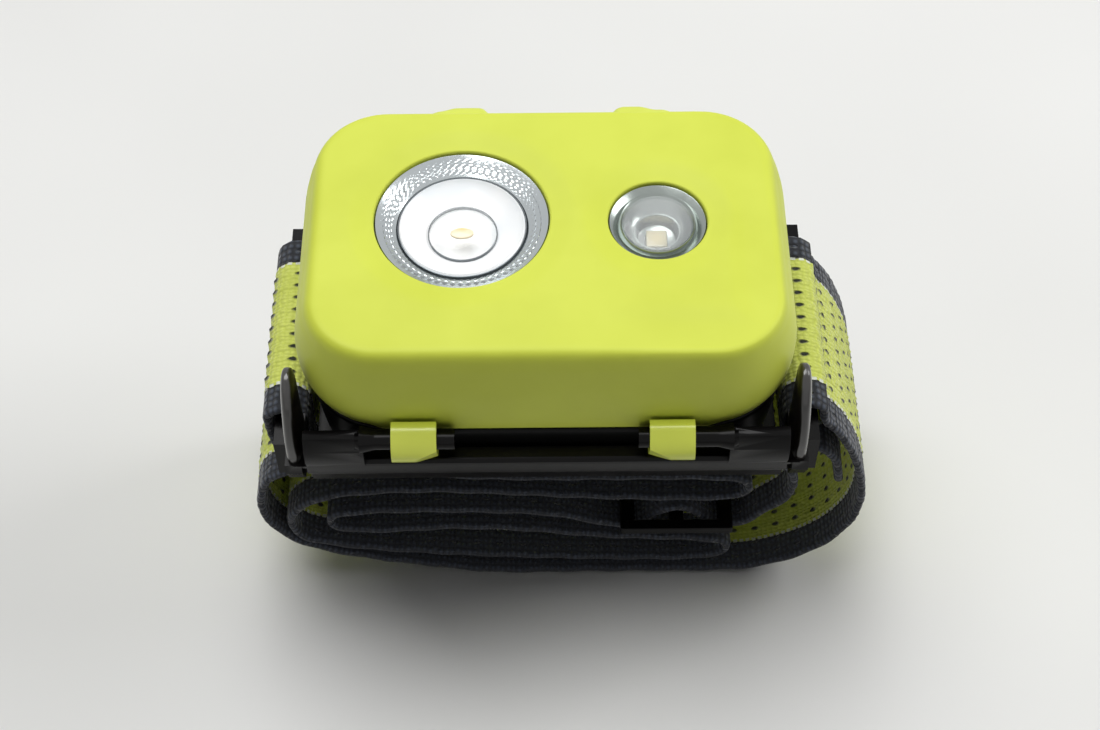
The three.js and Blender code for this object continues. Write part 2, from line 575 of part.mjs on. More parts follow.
function bracket() {
  const lower = BODY_OFFSET - BODY_Y;
  const plateY0 = lower + 3.05;
  const plateY1 = ARM_INNER + ARM_WIDTH;
  const plate = block(-PLATE_X, PLATE_X, plateY0, plateY1, PLATE_UNDER, PLATE_TOP);
  const front = PIVOT.y;
  const middle = alongX(
    [
      [front - 0.2, PIVOT.z - 7.8],
      [front - 0.7, PIVOT.z - 7.0],
      [front - 0.7, PIVOT.z - 4.8],
      [front - 0.2, PIVOT.z - 4.2],
      [front + 1.3, PIVOT.z - 4.0],
      [front + 1.8, PIVOT.z - 9.0],
      [lower + 1.35, PLATE_TOP + 1.6],
      [lower + 2.45, PLATE_TOP],
      [plateY0 + 1.6, PLATE_TOP],
      [plateY0 + 1.6, PLATE_UNDER],
      [plateY0, PLATE_UNDER],
      [plateY0 - 0.9, PLATE_UNDER + 0.5],
      [lower + 0.9, PLATE_UNDER + 2.5],
      [lower + 0.35, PLATE_UNDER + 4.6],
    ],
    -PLATE_X,
    PLATE_X,
  );
  const pieces = [plate];
  const pockets = [];
  for (const side of [-1, 1]) {
    const span = (a, b) => (side > 0 ? [a, b] : [-b, -a]);
    const [p0, p1] = span(POCKET_INNER, POCKET_OUTER);
    pockets.push(lying(p0, p1, PIVOT.y, PIVOT.z, POCKET_RADIUS));
    const [u0, u1] = span(POCKET_OUTER, BULK_X);
    pieces.push(
      alongX(
        [
          [front + 1.2, PIVOT.z - 5.8],
          [front - 0.4, PIVOT.z - 6.2],
          [front - 1.5, PIVOT.z - 3.4],
          [front - 1.5, PIVOT.z - 0.9],
          [front - 0.7, PIVOT.z + 1.1],
          [front + 0.5, PIVOT.z + 1.5],
          [front + 1.1, PIVOT.z + 0.6],
        ],
        u0,
        u1,
      ),
    );
    const [e0, e1] = span(EAR_X, EAR_X + EAR_THICK);
    pieces.push(alongX(EAR_OUTLINE, e0, e1));
    const [b0, b1] = span(BAR_X - BAR_WIDTH / 2, BAR_X + BAR_WIDTH / 2);
    const armOuter = ARM_INNER + ARM_WIDTH;
    pieces.push(block(b0, b1, -armOuter, armOuter, BAR_UNDER, BAR_UNDER + BAR_THICK));
    const [a0, a1] = span(PLATE_X - 3, BAR_X + BAR_WIDTH / 2);
    for (const end of [-1, 1]) {
      const y0 = end > 0 ? ARM_INNER : -ARM_INNER - ARM_WIDTH;
      pieces.push(block(a0, a1, y0, y0 + ARM_WIDTH, PLATE_UNDER, PLATE_TOP));
      pieces.push(block(b0, b1, y0, y0 + ARM_WIDTH, PLATE_UNDER, BAR_UNDER + BAR_THICK));
    }
  }
  const stubs = [-1, 1].flatMap((side) => {
    const near = POCKET_INNER - 1.0;
    const far = POCKET_OUTER + 1.0;
    const stub = side > 0 ? [near, far] : [-far, -near];
    const root = POCKET_OUTER + 0.4;
    const tip = POCKET_OUTER - 1.6;
    const wide = PIVOT.radius + 0.45;
    const cone =
      side > 0
        ? lying(tip, root, PIVOT.y, PIVOT.z, PIVOT.radius, wide)
        : lying(-root, -tip, PIVOT.y, PIVOT.z, wide, PIVOT.radius);
    return [lying(stub[0], stub[1], PIVOT.y, PIVOT.z, PIVOT.radius), cone];
  });
  return join(cut(join(middle, ...pieces), ...pockets), ...stubs);
}

add("bracket", bracket(), "smokePlastic");

// ---------- headband ----------
// The band's middle line as [x, depth below the bracket plate], from the sewn end at the right-hand
// bar, down and under the lamp, through its folds, through the slider, under the plate and round the
// left-hand bar to its end.
const FOLDS = [
  [38.4, -5.2], [40.9, -1.6], [43.5, 4.0], [45.3, 10.5], [45.9, 16.5], [44.9, 22.2],
  [41.9, 27.8], [37.2, 32.0], [31.0, 34.7], [24.0, 35.3], [16.0, 35.3], [4.0, 35.3],
  [-8.0, 35.3], [-18.0, 33.3], [-27.0, 30.9], [-34.5, 28.0], [-39.4, 24.0], [-41.9, 18.0],
  [-41.4, 12.0], [-39.4, 8.2], [-35.0, 6.2], [-28.5, 6.1], [-20.0, 7.4], [-5.0, 8.6],
  [10.0, 8.8], [22.0, 9.0], [27.4, 9.8], [29.3, 12.0], [27.4, 14.2], [22.0, 14.6],
  [8.0, 14.0], [-6.0, 12.6], [-17.0, 11.8], [-27.0, 12.4], [-33.0, 14.0], [-36.8, 17.2],
  [-38.2, 20.8], [-36.6, 25.0], [-31.0, 27.2], [-22.0, 28.9], [-7.0, 30.6], [8.0, 31.6],
  [21.0, 31.8], [25.6, 30.9], [27.2, 29.0], [25.4, 27.0], [20.0, 26.0], [8.0, 25.0],
  [-4.0, 22.9], [-14.0, 22.2], [-24.0, 23.0], [-30.4, 22.6], [-32.4, 20.6], [-30.6, 18.5],
  [-24.0, 17.5], [-12.0, 17.5], [0.0, 18.6],
];
const AFTER_SLIDER = [
  [31.5, 19.0], [34.9, 14.8], [35.6, 10.0], [33.4, 5.6], [28.0, 3.0], [20.0, 1.7],
  [8.0, 1.3], [-8.0, 1.3], [-22.0, 1.3],
];
const ROUTE_BAR = 35.75; // where the points above take the side bars to be
const BEND_ZONE = 25.0; // points further out than this keep their distance from a bar

// The runs between the bars stretch, and the bends at the bars keep their shape.
function routeX(x) {
  return x + (BAR_X - ROUTE_BAR) * THREE.MathUtils.clamp(x / BEND_ZONE, -1, 1);
}

function routePoint([x, depth]) {
  return new THREE.Vector2(routeX(x), PLATE_UNDER - depth);
}

// Points round a side bar, from the slot over the top to the outside, for side = 1 or -1.
function overBar(side) {
  const reach = BAR_WIDTH / 2 + STRAP_CLEAR + STRAP_THICK / 2;
  const top = BAR_UNDER + BAR_THICK - BAR_WIDTH / 2 + 0.7;
  return Array.from({ length: 7 }, (_, i) => {
    const angle = Math.PI - (i / 6) * Math.PI;
    return new THREE.Vector2(side * (BAR_X + reach * Math.cos(angle)), top + reach * Math.sin(angle));
  });
}

// Points round the plate's lower left edge, from under the plate into the slot.
function plateCorner() {
  const reach = STRAP_CLEAR + STRAP_THICK / 2 + 0.05;
  return [90, 45, 0].map((degrees) => {
    const angle = THREE.MathUtils.degToRad(degrees);
    return new THREE.Vector2(-PLATE_X - reach * Math.cos(angle), PLATE_UNDER - reach * Math.sin(angle));
  });
}

function headbandRoute() {
  const slotX = BAR_X - BAR_WIDTH / 2 - STRAP_CLEAR - STRAP_THICK / 2;
  const rise = SLIDER.half + STRAP_CLEAR + STRAP_THICK / 2;
  const across = [-1.35, -0.85, -0.2, 0.2, 0.85, 1.35].map((share, i) => {
    const up = i === 2 || i === 3 ? rise : -rise;
    return new THREE.Vector2(routeX(SLIDER.x) + share * SLIDER.pitch, PLATE_UNDER - SLIDER.depth + up);
  });
  const sewnEnd = [[42.0, 10.0], [41.2, 5.6], [39.0, 2.2], [35.8, 0.6]].map(routePoint);
  const wrapEnd = [[-37.6, 0.2], [-35.4, 2.9], [-31.5, 3.6], [-25.0, 3.7]].map(routePoint);
  return new THREE.SplineCurve([
    ...sewnEnd,
    new THREE.Vector2(slotX, PLATE_UNDER + 2.0),
    ...overBar(1).slice(0, 6),
    ...FOLDS.map(routePoint),
    ...across,
    ...AFTER_SLIDER.map(routePoint),
    ...plateCorner(),
    ...overBar(-1),
    ...wrapEnd,
  ]);
}

// A ribbon of even thickness about the route, as wide as the band.
function headband() {
  const route = headbandRoute();
  const steps = 260;
  const sides = [1, -1].map((side) => {
    return Array.from({ length: steps + 1 }, (_, i) => {
      const middle = route.getPointAt(i / steps);
      const ahead = route.getTangentAt(i / steps);
      const offset = (side * STRAP_THICK) / 2;
      return new THREE.Vector2(middle.x - offset * ahead.y, middle.y + offset * ahead.x);
    });
  });
  const shape = new THREE.Shape([...sides[0], ...sides[1].reverse()]);
  const ribbon = new THREE.ExtrudeGeometry(shape, { depth: STRAP_WIDTH, bevelEnabled: false });
  const stand = new THREE.Matrix4().makeBasis(X_AXIS, Z_AXIS, Y_AXIS.clone().negate());
  return ribbon.applyMatrix4(stand).translate(0, STRAP_HALF, 0);
}

// The three-bar slider that sets the band's length.
function headbandSlider() {
  const middle = routeX(SLIDER.x);
  const z = PLATE_UNDER - SLIDER.depth;
  const halfX = SLIDER.pitch + SLIDER.bar;
  const inner = STRAP_HALF + STRAP_CLEAR;
  const outer = inner + 1.8;
  const frame = block(middle - halfX, middle + halfX, -outer, outer, z - SLIDER.half, z + SLIDER.half);
  const windows = [-1, 1].map((side) => {
    const x0 = middle + (side > 0 ? SLIDER.bar : SLIDER.bar - SLIDER.pitch);
    return block(x0, x0 + SLIDER.pitch - 2 * SLIDER.bar, -inner, inner, z - 2, z + 2);
  });
  return cut(frame, ...windows);
}

add("headband", headband(), "webbing");
add("headband_slider", headbandSlider(), "smokePlastic");

// ---------- stand the lamp on its headband ----------
const outline = new THREE.Box3().setFromObject(lamp);
const centre = outline.getCenter(new THREE.Vector3());
lamp.position.set(-centre.x, -centre.y, -outline.min.z);

const headlamp = new THREE.Group();
headlamp.add(lamp);

export default headlamp;
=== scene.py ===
"""Headlamp with a soft-touch lime shell, two lens windows, a smoked bracket and a knitted headband.

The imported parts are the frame. This script lays the finished surfaces over them: each shape is a function of
two parameters worked out on a grid, and each finish is a node material. Lengths inside the script are
millimetres measured from the lamp's own centre, with z = 0 on the front face; place() turns them into metres.
"""

import math

import bmesh
import bpy
import numpy as np
from mathutils import Matrix, Vector


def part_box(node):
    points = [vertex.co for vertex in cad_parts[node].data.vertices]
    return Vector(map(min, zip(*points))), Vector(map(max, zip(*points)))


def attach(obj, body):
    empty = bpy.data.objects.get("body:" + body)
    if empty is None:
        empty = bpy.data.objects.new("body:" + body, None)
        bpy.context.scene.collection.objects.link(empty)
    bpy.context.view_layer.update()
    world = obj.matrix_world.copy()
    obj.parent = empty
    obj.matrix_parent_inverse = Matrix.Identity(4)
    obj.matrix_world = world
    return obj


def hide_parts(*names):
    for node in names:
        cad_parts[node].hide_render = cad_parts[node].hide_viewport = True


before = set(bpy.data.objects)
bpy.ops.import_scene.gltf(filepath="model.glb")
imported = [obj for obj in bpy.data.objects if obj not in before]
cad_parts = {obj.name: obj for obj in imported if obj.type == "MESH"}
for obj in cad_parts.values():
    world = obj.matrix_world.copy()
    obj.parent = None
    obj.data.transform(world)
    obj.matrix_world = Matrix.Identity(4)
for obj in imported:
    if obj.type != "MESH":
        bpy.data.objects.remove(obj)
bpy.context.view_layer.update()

bl_info = {
    "name": "Headlamp finish",
    "version": (1, 0, 0),
    "blender": (4, 5, 0),
    "location": "3D View > Sidebar > Headlamp",
    "description": "Builds the visible surfaces and materials of a headlamp around its packed parts",
    "category": "Add Mesh",
}

MM = 0.001
TAU = 2 * math.pi
BODY_Y0 = -0.45  # middle of the shell in y from the lamp's own centre


def centre_of(node):
    """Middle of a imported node's box, in metres."""
    low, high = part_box(node)
    return (np.array(low) + np.array(high)) / 2


def lamp_origin():
    """The lamp's own centre: over the middle of the chassis, with z on the front face."""
    middle = centre_of("chassis")
    return np.array([middle[0], middle[1] - BODY_Y0 * MM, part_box("front_shell")[1].z])


ORIGIN = lamp_origin()


def place(points):
    """Lamp millimetres to row metres."""
    return np.asarray(points, float) * MM + ORIGIN


def local_box(node):
    """A node's low and high corners in lamp millimetres."""
    low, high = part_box(node)
    return (np.array(low) - ORIGIN) / MM, (np.array(high) - ORIGIN) / MM


# ---------------------------------------------------------------- meshes


def grid_faces(rows, columns, closed):
    """Quads of a grid; closed joins the last column to the first."""
    r, c = np.meshgrid(np.arange(rows - 1), np.arange(columns if closed else columns - 1), indexing="ij")
    here, right = r * columns + c, r * columns + (c + 1) % columns
    return np.stack([here, right, right + columns, here + columns], -1).reshape(-1, 4)


def mesh_of(name, patches):
    """A mesh from patches of (vertices, quads, caps...) in lamp millimetres; a cap is a ring of vertex numbers."""
    vertices, faces, start = [], [], 0
    for points, quads, *caps in patches:
        points = np.asarray(points, float).reshape(-1, 3)
        vertices.append(points)
        faces += (quads + start).tolist() + [(cap + start).tolist() for cap in caps]
        start += len(points)
    mesh = bpy.data.meshes.new(name)
    mesh.from_pydata(place(np.concatenate(vertices)), [], faces)
    return mesh


def add_object(name, mesh, material, body, replaces=()):
    """An object that wears one material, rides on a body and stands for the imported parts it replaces."""
    mesh.materials.append(material)
    obj = bpy.data.objects.new(name, mesh)
    bpy.context.scene.collection.objects.link(obj)
    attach(obj, body)
    if replaces:
        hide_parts(*replaces)
    return obj


def new_object(name, patches, material, body, replaces=(), sharp=35.0):
    """One object from patches, with edges that meet merged."""
    mesh = mesh_of(name, patches)
    mesh.validate()
    tidy_mesh(mesh, sharp)
    return add_object(name, mesh, material, body, replaces)


def worked(mesh, step=None):
    """Runs a step on a mesh's edges and faces, and turns the faces out."""
    work = bmesh.new()
    work.from_mesh(mesh)
    if step:
        step(work)
    bmesh.ops.recalc_face_normals(work, faces=work.faces)
    work.to_mesh(mesh)
    work.free()


def tidy_mesh(mesh, sharp, merge=2e-6, flat=None):
    """Merges doubles and shades smooth but for edges sharper than the angle; given an angle in flat, it joins
    triangles that lie flatter than that."""

    def step(work):
        bmesh.ops.remove_doubles(work, verts=work.verts, dist=merge)
        if flat is None:
            bmesh.ops.dissolve_degenerate(work, edges=work.edges, dist=1e-7)
        else:
            limit = math.radians(flat)
            bmesh.ops.dissolve_limit(work, angle_limit=limit, verts=work.verts, edges=work.edges)
        for face in work.faces:
            face.smooth = True

    worked(mesh, step)
    mesh.set_sharp_from_angle(angle=math.radians(sharp))


def bevelled(obj, width):
    """Rounds an object's edges by width in millimetres."""
    modifier = obj.modifiers.new("rounded edges", "BEVEL")
    modifier.width = width * MM
    modifier.segments = 3
    modifier.limit_method = "ANGLE"
    modifier.angle_limit = math.radians(30)
    modifier.harden_normals = True
    return obj


def smooth_curve(x, knots_x, knots_y):
    """A cubic through the knots with a slope at each from its two neighbours, read at x."""
    knots_x, knots_y = np.asarray(knots_x, float), np.asarray(knots_y, float)
    slope = np.gradient(knots_y, knots_x)
    i = np.clip(np.searchsorted(knots_x, x, side="right") - 1, 0, len(knots_x) - 2)
    h = knots_x[i + 1] - knots_x[i]
    t = (x - knots_x[i]) / h
    a = (1 + 2 * t) * (1 - t) ** 2 * knots_y[i] + t * (1 - t) ** 2 * h * slope[i]
    return a + t * t * (3 - 2 * t) * knots_y[i + 1] + t * t * (t - 1) * h * slope[i + 1]


def fade(t):
    """0 to 1 with a soft start and end."""
    t = np.clip(t, 0, 1)
    return t * t * (3 - 2 * t)


ARC_STEPS = 18
LINE_STEPS = 26


def ring_template():
    """Angle and corner signs of each point of a rounded rectangle: four arcs joined by straight runs."""
    signs = np.array([[1, 1], [-1, 1], [-1, -1], [1, -1]], float)
    angle, corner = [], []
    for q in range(4):
        arc = np.linspace(0, 1, ARC_STEPS, endpoint=False)
        angle.append((q + arc) * math.pi / 2)
        corner.append(np.repeat(signs[q][None], ARC_STEPS, 0))
        run = np.linspace(0, 1, LINE_STEPS, endpoint=False)[:, None]
        angle.append(np.full(LINE_STEPS, (q + 1) * math.pi / 2))
        corner.append(signs[q] * (1 - run) + signs[(q + 1) % 4] * run)
    return np.concatenate(angle), np.concatenate(corner)


RING_ANGLE, RING_CORNER = ring_template()


def rounded_ring(half_x, half_y, corner, middle=(0.0, BODY_Y0)):
    """Rounded rectangles, one for each entry of the half sizes: shape (rows, points, 2)."""
    sizes = (half_x, half_y, corner)
    half_x, half_y, corner = (np.atleast_1d(np.asarray(v, float))[:, None] for v in sizes)
    x = middle[0] + RING_CORNER[None, :, 0] * (half_x - corner) + corner * np.cos(RING_ANGLE)[None]
    y = middle[1] + RING_CORNER[None, :, 1] * (half_y - corner) + corner * np.sin(RING_ANGLE)[None]
    return np.stack([x, y], -1)


def lathe(profile, centre, steps=96, wave=None):
    """A profile of (radius, z) turned about an upright axis; wave(radius, z, angle) lifts the surface."""
    profile = np.asarray(profile, float)
    angle = np.arange(steps) * TAU / steps
    radius, around = np.meshgrid(profile[:, 0], angle, indexing="ij")
    z = profile[:, 1][:, None] + 0 * angle
    if wave is not None:
        z = z + wave(radius, z, around)
    points = np.stack([centre[0] + radius * np.cos(around), centre[1] + radius * np.sin(around), z], -1)
    return points, grid_faces(len(profile), steps, True)


def arc(cx, cz, radius, start, end, steps):
    """Points of an arc as (across, up), degrees from start to end."""
    angle = np.radians(np.linspace(start, end, steps))
    return np.stack([cx + radius * np.cos(angle), cz + radius * np.sin(angle)], -1)


def caps_of(count, last):
    """Vertex rings that close the first row of a grid and the row that starts at vertex last."""
    return np.arange(count), np.arange(last, last + count)[::-1]


def prism(outline, x0, x1):
    """A y-z outline carried along x, closed at both ends."""
    outline = np.asarray(outline, float)
    n = len(outline)
    ends = [np.column_stack([np.full(n, x), outline]) for x in (x0, x1)]
    return [(np.concatenate(ends), grid_faces(2, n, True), *caps_of(n, n))]


def box_patch(low, high):
    """A box between two corners, in lamp millimetres."""
    x0, y0, z0 = low
    x1, y1, z1 = high
    return prism([(y0, z0), (y1, z0), (y1, z1), (y0, z1)], x0, x1)[0]


def facet(obj, corners):
    """Slices a flat facet off an object through three points; the side its normal looks to goes."""
    a, b, c = (Vector(place(corner)) for corner in corners)
    normal = (b - a).cross(c - a)

    def step(work):
        everything = work.verts[:] + work.edges[:] + work.faces[:]
        cut = bmesh.ops.bisect_plane(work, geom=everything, plane_co=a, plane_no=normal, clear_outer=True)
        edges = [part for part in cut["geom_cut"] if isinstance(part, bmesh.types.BMEdge)]
        bmesh.ops.contextual_create(work, geom=edges)

    worked(obj.data, step)
    obj.data.set_sharp_from_angle(angle=math.radians(30))


def cut_away(obj, cutters):
    """Cuts closed patches out of an object and puts the result in its mesh."""
    mesh = mesh_of("cutter", cutters)
    worked(mesh)
    tool = bpy.data.objects.new("cutter", mesh)
    bpy.context.scene.collection.objects.link(tool)
    modifier = obj.modifiers.new("slots", "BOOLEAN")
    modifier.operation = "DIFFERENCE"
    modifier.solver = "EXACT"
    modifier.object = tool
    depsgraph = bpy.context.evaluated_depsgraph_get()
    done = bpy.data.meshes.new_from_object(obj.evaluated_get(depsgraph))
    obj.modifiers.clear()
    materials = list(obj.data.materials)
    obj.data = done
    done.materials.clear()
    for material in materials:
        done.materials.append(material)
    bpy.data.objects.remove(tool)
    tidy_mesh(done, 35.0)


# ---------------------------------------------------------------- materials


def colour(value):
    """An sRGB hex colour as linear RGBA; a colour that is linear already is passed on."""
    if not isinstance(value, str):
        return list(value)
    parts = [int(value[i : i + 2], 16) / 255 for i in (1, 3, 5)]
    return [p / 12.92 if p <= 0.04045 else ((p + 0.055) / 1.055) ** 2.4 for p in parts] + [1.0]


def node(material, kind, settings=None, links=None):
    """Adds a node, sets its properties, sockets and ramp stops, and links sockets from (node, output)."""
    made = material.node_tree.nodes.new(kind)
    for key, value in (settings or {}).items():
        if key == "stops":
            while len(made.color_ramp.elements) < len(value):
                made.color_ramp.elements.new(0.5)
            for element, (position, shade) in zip(made.color_ramp.elements, value):
                element.position = position
                element.color = colour(shade)
        elif isinstance(key, str) and hasattr(made, key) and key not in made.inputs:
            setattr(made, key, value)
        else:
            made.inputs[key].default_value = value
    for key, (source, output) in (links or {}).items():
        material.node_tree.links.new(source.outputs[output], made.inputs[key])
    return made


def principled(name, base, roughness, **extra):
    """A new material and its Principled shader with constant sockets set on it."""
    material = bpy.data.materials.new(name)
    material.use_nodes = True
    shader = material.node_tree.nodes["Principled BSDF"]
    shader.inputs["Base Color"].default_value = colour(base)
    shader.inputs["Roughness"].default_value = roughness
    for key, value in extra.items():
        shader.inputs[key.replace("_", " ")].default_value = value
    return material, shader


def feed(material, shader, socket, source, output=0):
    """Links a node's output into a socket of the shader."""
    material.node_tree.links.new(source.outputs[output], shader.inputs[socket])


CLOUD_MM, RUBBED_MM = 14, 5  # width of a flow cloud in the colour, and of a patch polished by handling


def moulded(name, base, dark, roughness, grain_mm, relief_mm, **extra):
    """Moulded plastic: faint flow clouds in the colour, spark-eroded grain, sheen uneven from handling."""
    material, shader = principled(name, base, roughness, **extra)
    at = {"Vector": (node(material, "ShaderNodeTexCoord"), "Object")}
    cloud = node(material, "ShaderNodeTexNoise", {"Scale": 1 / (CLOUD_MM * MM), "Detail": 3.0}, at)
    tint = node(material, "ShaderNodeValToRGB", {"stops": [(0.3, dark), (0.62, base)]}, {0: (cloud, 0)})
    feed(material, shader, "Base Color", tint)
    rubbed = node(material, "ShaderNodeTexNoise", {"Scale": 1 / (RUBBED_MM * MM), "Detail": 4.0}, at)
    limits = {"To Min": max(roughness - 0.06, 0.02), "To Max": roughness + 0.06}
    feed(material, shader, "Roughness", node(material, "ShaderNodeMapRange", limits, {"Value": (rubbed, 0)}))
    grain = node(material, "ShaderNodeTexNoise", {"Scale": 1 / (grain_mm * MM), "Detail": 2.0}, at)
    relief = {"Strength": 0.6, "Distance": relief_mm * MM}
    feed(material, shader, "Normal", node(material, "ShaderNodeBump", relief, {"Height": (grain, 0)}))
    return material


def metal(name, base, roughness, mark_mm, stretch=(1, 1, 1)):
    """Plated or bare metal: drawing or tumbling marks of a real pitch in the gloss and the relief."""
    material, shader = principled(name, base, roughness, Metallic=1.0)
    where = node(material, "ShaderNodeTexCoord")
    turn = node(material, "ShaderNodeMapping", {"Scale": stretch}, {"Vector": (where, "Object")})
    scale = {"Scale": 1 / (mark_mm * MM), "Detail": 3.0}
    marks = node(material, "ShaderNodeTexNoise", scale, {"Vector": (turn, 0)})
    limits = {"To Min": roughness * 0.7, "To Max": roughness * 1.4}
    feed(material, shader, "Roughness", node(material, "ShaderNodeMapRange", limits, {"Value": (marks, 0)}))
    relief = {"Strength": 0.3, "Distance": 0.03 * MM}
    feed(material, shader, "Normal", node(material, "ShaderNodeBump", relief, {"Height": (marks, 0)}))
    return material


def printed_board(name, mask, track):
    """Glass-epoxy board under solder mask: broad copper areas show a shade lighter through the mask."""
    material, shader = principled(name, mask, 0.35)
    where = node(material, "ShaderNodeTexCoord")
    areas = node(material, "ShaderNodeTexVoronoi", {"Scale": 1 / (3 * MM), "feature": "DISTANCE_TO_EDGE"},
                 {"Vector": (where, "Object")})
    tint = node(material, "ShaderNodeValToRGB", {"stops": [(0.04, track), (0.09, mask)]},
                {0: (areas, "Distance")})
    feed(material, shader, "Base Color", tint)
    relief = {"Strength": 0.5, "Distance": 0.03 * MM}
    feed(material, shader, "Normal", node(material, "ShaderNodeBump", relief, {"Height": (areas, "Distance")}))
    return material


def phosphor(name, base, edge, centre, radius_mm):
    """Phosphor gel over a light-emitting chip: a warm body that pales towards its rim, with a powder grain."""
    material, shader = principled(name, base, 0.45, Coat_Weight=0.6)
    where = node(material, "ShaderNodeTexCoord")
    shift = node(material, "ShaderNodeVectorMath", {"operation": "DISTANCE", 1: tuple(place(centre))},
                 {0: (where, "Object")})
    span = node(material, "ShaderNodeMapRange", {"From Max": radius_mm * MM}, {"Value": (shift, "Value")})
    tint = node(material, "ShaderNodeValToRGB", {"stops": [(0.2, base), (1.0, edge)]}, {0: (span, 0)})
    feed(material, shader, "Base Color", tint)
    powder = node(material, "ShaderNodeTexNoise", {"Scale": 1 / (0.15 * MM)}, {"Vector": (where, "Object")})
    relief = {"Strength": 0.3, "Distance": 0.02 * MM}
    feed(material, shader, "Normal", node(material, "ShaderNodeBump", relief, {"Height": (powder, 0)}))
    return material


def knitted(name, navy, navy_highlight, lime, lime_shade_and_patches, white):
    """Elastic knitted on a warp machine: ribbed navy borders, a lime mesh with columns of small holes between them,
    and a white dashed thread on each seam. Painted highlights on the ribs, and painted shade at the stitch rims and
    in the holes, are part of the colour. The map holds millimetres along and across the band."""
    material, shader = principled(name, lime, 0.85, Sheen_Weight=0.25, Sheen_Roughness=0.4)
    math_node, mix_node, rgba = "ShaderNodeMath", "ShaderNodeMix", {"data_type": "RGBA"}
    where = node(material, "ShaderNodeUVMap", {"uv_map": "along_across"})
    parts = node(material, "ShaderNodeSeparateXYZ", None, {0: (where, 0)})
    side = node(material, math_node, {"operation": "ABSOLUTE"}, {0: (parts, 1)})
    # cells, with their size in mm along and across and how far they stray: holes on the lattice of the mesh,
    # stitches as loops of yarn, and the ribs of the borders in rows of stitches
    layers = []
    for along, across, stray in ((HOLE_ALONG, HOLE_ACROSS, 0.0), (0.8, 0.6, 0.35), (0.85, 1.05, 0.25)):
        scaled = node(material, "ShaderNodeMapping", {"Scale": (1 / along, 1 / across, 1)}, {0: (where, 0)})
        look = {"voronoi_dimensions": "2D", "Scale": 1.0, "Randomness": stray}
        layers.append(node(material, "ShaderNodeTexVoronoi", look, {"Vector": (scaled, 0)}))
    holes, stitch, cords = layers
    limits = {"From Min": 0.1, "From Max": 0.19}
    open_area = node(material, "ShaderNodeMapRange", limits, {"Value": (holes, 0)})
    # painted shade: each stitch darkens from its middle towards its rim; the same darker lime also makes random
    # patches
    stops = [(0.15, lime), (0.75, lime_shade_and_patches)]
    yarn = node(material, "ShaderNodeValToRGB", {"stops": stops}, {0: (stitch, 0)})
    patchy = node(material, "ShaderNodeTexNoise", {"Scale": 0.22, "Detail": 3.0}, {"Vector": (where, 0)})
    shade = {**rgba, 7: colour(lime_shade_and_patches)}
    yarn_tint = node(material, mix_node, shade, {0: (patchy, 0), 6: (yarn, 0)})
    # painted shade: the holes are filled with a dark colour for the shade seen through them
    hole_shade = {**rgba, 6: colour("#1B1F14")}
    centre = node(material, mix_node, hole_shade, {0: (open_area, 0), 7: (yarn_tint, 2)})
    # painted highlight on the crown of each rib of the border, and painted shade in the near black between the ribs
    stops = [(0.12, navy_highlight), (0.42, navy), (0.8, "#0D1018")]
    border = node(material, "ShaderNodeValToRGB", {"stops": stops}, {0: (cords, 0)})
    edge = node(material, math_node, {"operation": "GREATER_THAN", 1: SEAM_AT}, {0: (side, 0)})
    cloth = node(material, mix_node, rgba, {0: (edge, 0), 6: (centre, 2), 7: (border, 0)})
    # seam thread: a dash 0.6 mm long each millimetre, 0.5 mm wide, with a dark line on its outer side
    beat = node(material, math_node, {"operation": "FRACT"}, {0: (parts, 0)})
    dash = node(material, math_node, {"operation": "LESS_THAN", 1: 0.6}, {0: (beat, 0)})
    near = {"operation": "COMPARE"}
    line = node(material, math_node, {**near, 1: SEAM_AT - 0.15, 2: 0.24}, {0: (side, 0)})
    thread = node(material, math_node, {"operation": "MULTIPLY"}, {0: (dash, 0), 1: (line, 0)})
    gap = node(material, math_node, {**near, 1: SEAM_AT + 0.22, 2: 0.2}, {0: (side, 0)})
    shaded = node(material, mix_node, {**rgba, 7: colour("#0A0C12")}, {0: (gap, 0), 6: (cloth, 2)})
    final = node(material, mix_node, {**rgba, 7: colour(white)}, {0: (thread, 0), 6: (shaded, 2)})
    feed(material, shader, "Base Color", final, 2)
    # relief: stitches fall away at their rims, and the holes sink
    height = node(material, mix_node, {"data_type": "FLOAT"}, {0: (edge, 0), 2: (stitch, 0), 3: (cords, 0)})
    sunk = node(material, math_node, {"operation": "SUBTRACT", 0: 1.0}, {1: (height, 0)})
    solid = node(material, math_node, {"operation": "MULTIPLY_ADD", 1: 1.4}, {0: (open_area, 0), 2: (sunk, 0)})
    lifted = node(material, math_node, {"operation": "ADD"}, {0: (solid, 0), 1: (thread, 0)})
    relief = {"Strength": 0.9, "Distance": 0.28 * MM}
    feed(material, shader, "Normal", node(material, "ShaderNodeBump", relief, {"Height": (lifted, 0)}))
    return material


# ---------------------------------------------------------------- settings


class HeadlampSizes(bpy.types.PropertyGroup):
    """Sizes that a user would change."""

    dish_width: bpy.props.FloatProperty(
        name="Dish width", description="Width of the dish round each lens", default=4.0 * MM, unit="LENGTH")
    dish_depth: bpy.props.FloatProperty(
        name="Dish depth", description="Depth of the dish at the lens", default=0.45 * MM, unit="LENGTH")
    lens_recess: bpy.props.FloatProperty(
        name="Lens recess", description="Lens rim below the face", default=0.9 * MM, unit="LENGTH")
    hook_bevel: bpy.props.FloatProperty(
        name="Hook edge", description="Rounding of the hooks' edges", default=0.35 * MM, unit="LENGTH")
    lump: bpy.props.FloatProperty(
        name="Knit lump", description="Height of the cables between the holes", default=0.42 * MM, unit="LENGTH")


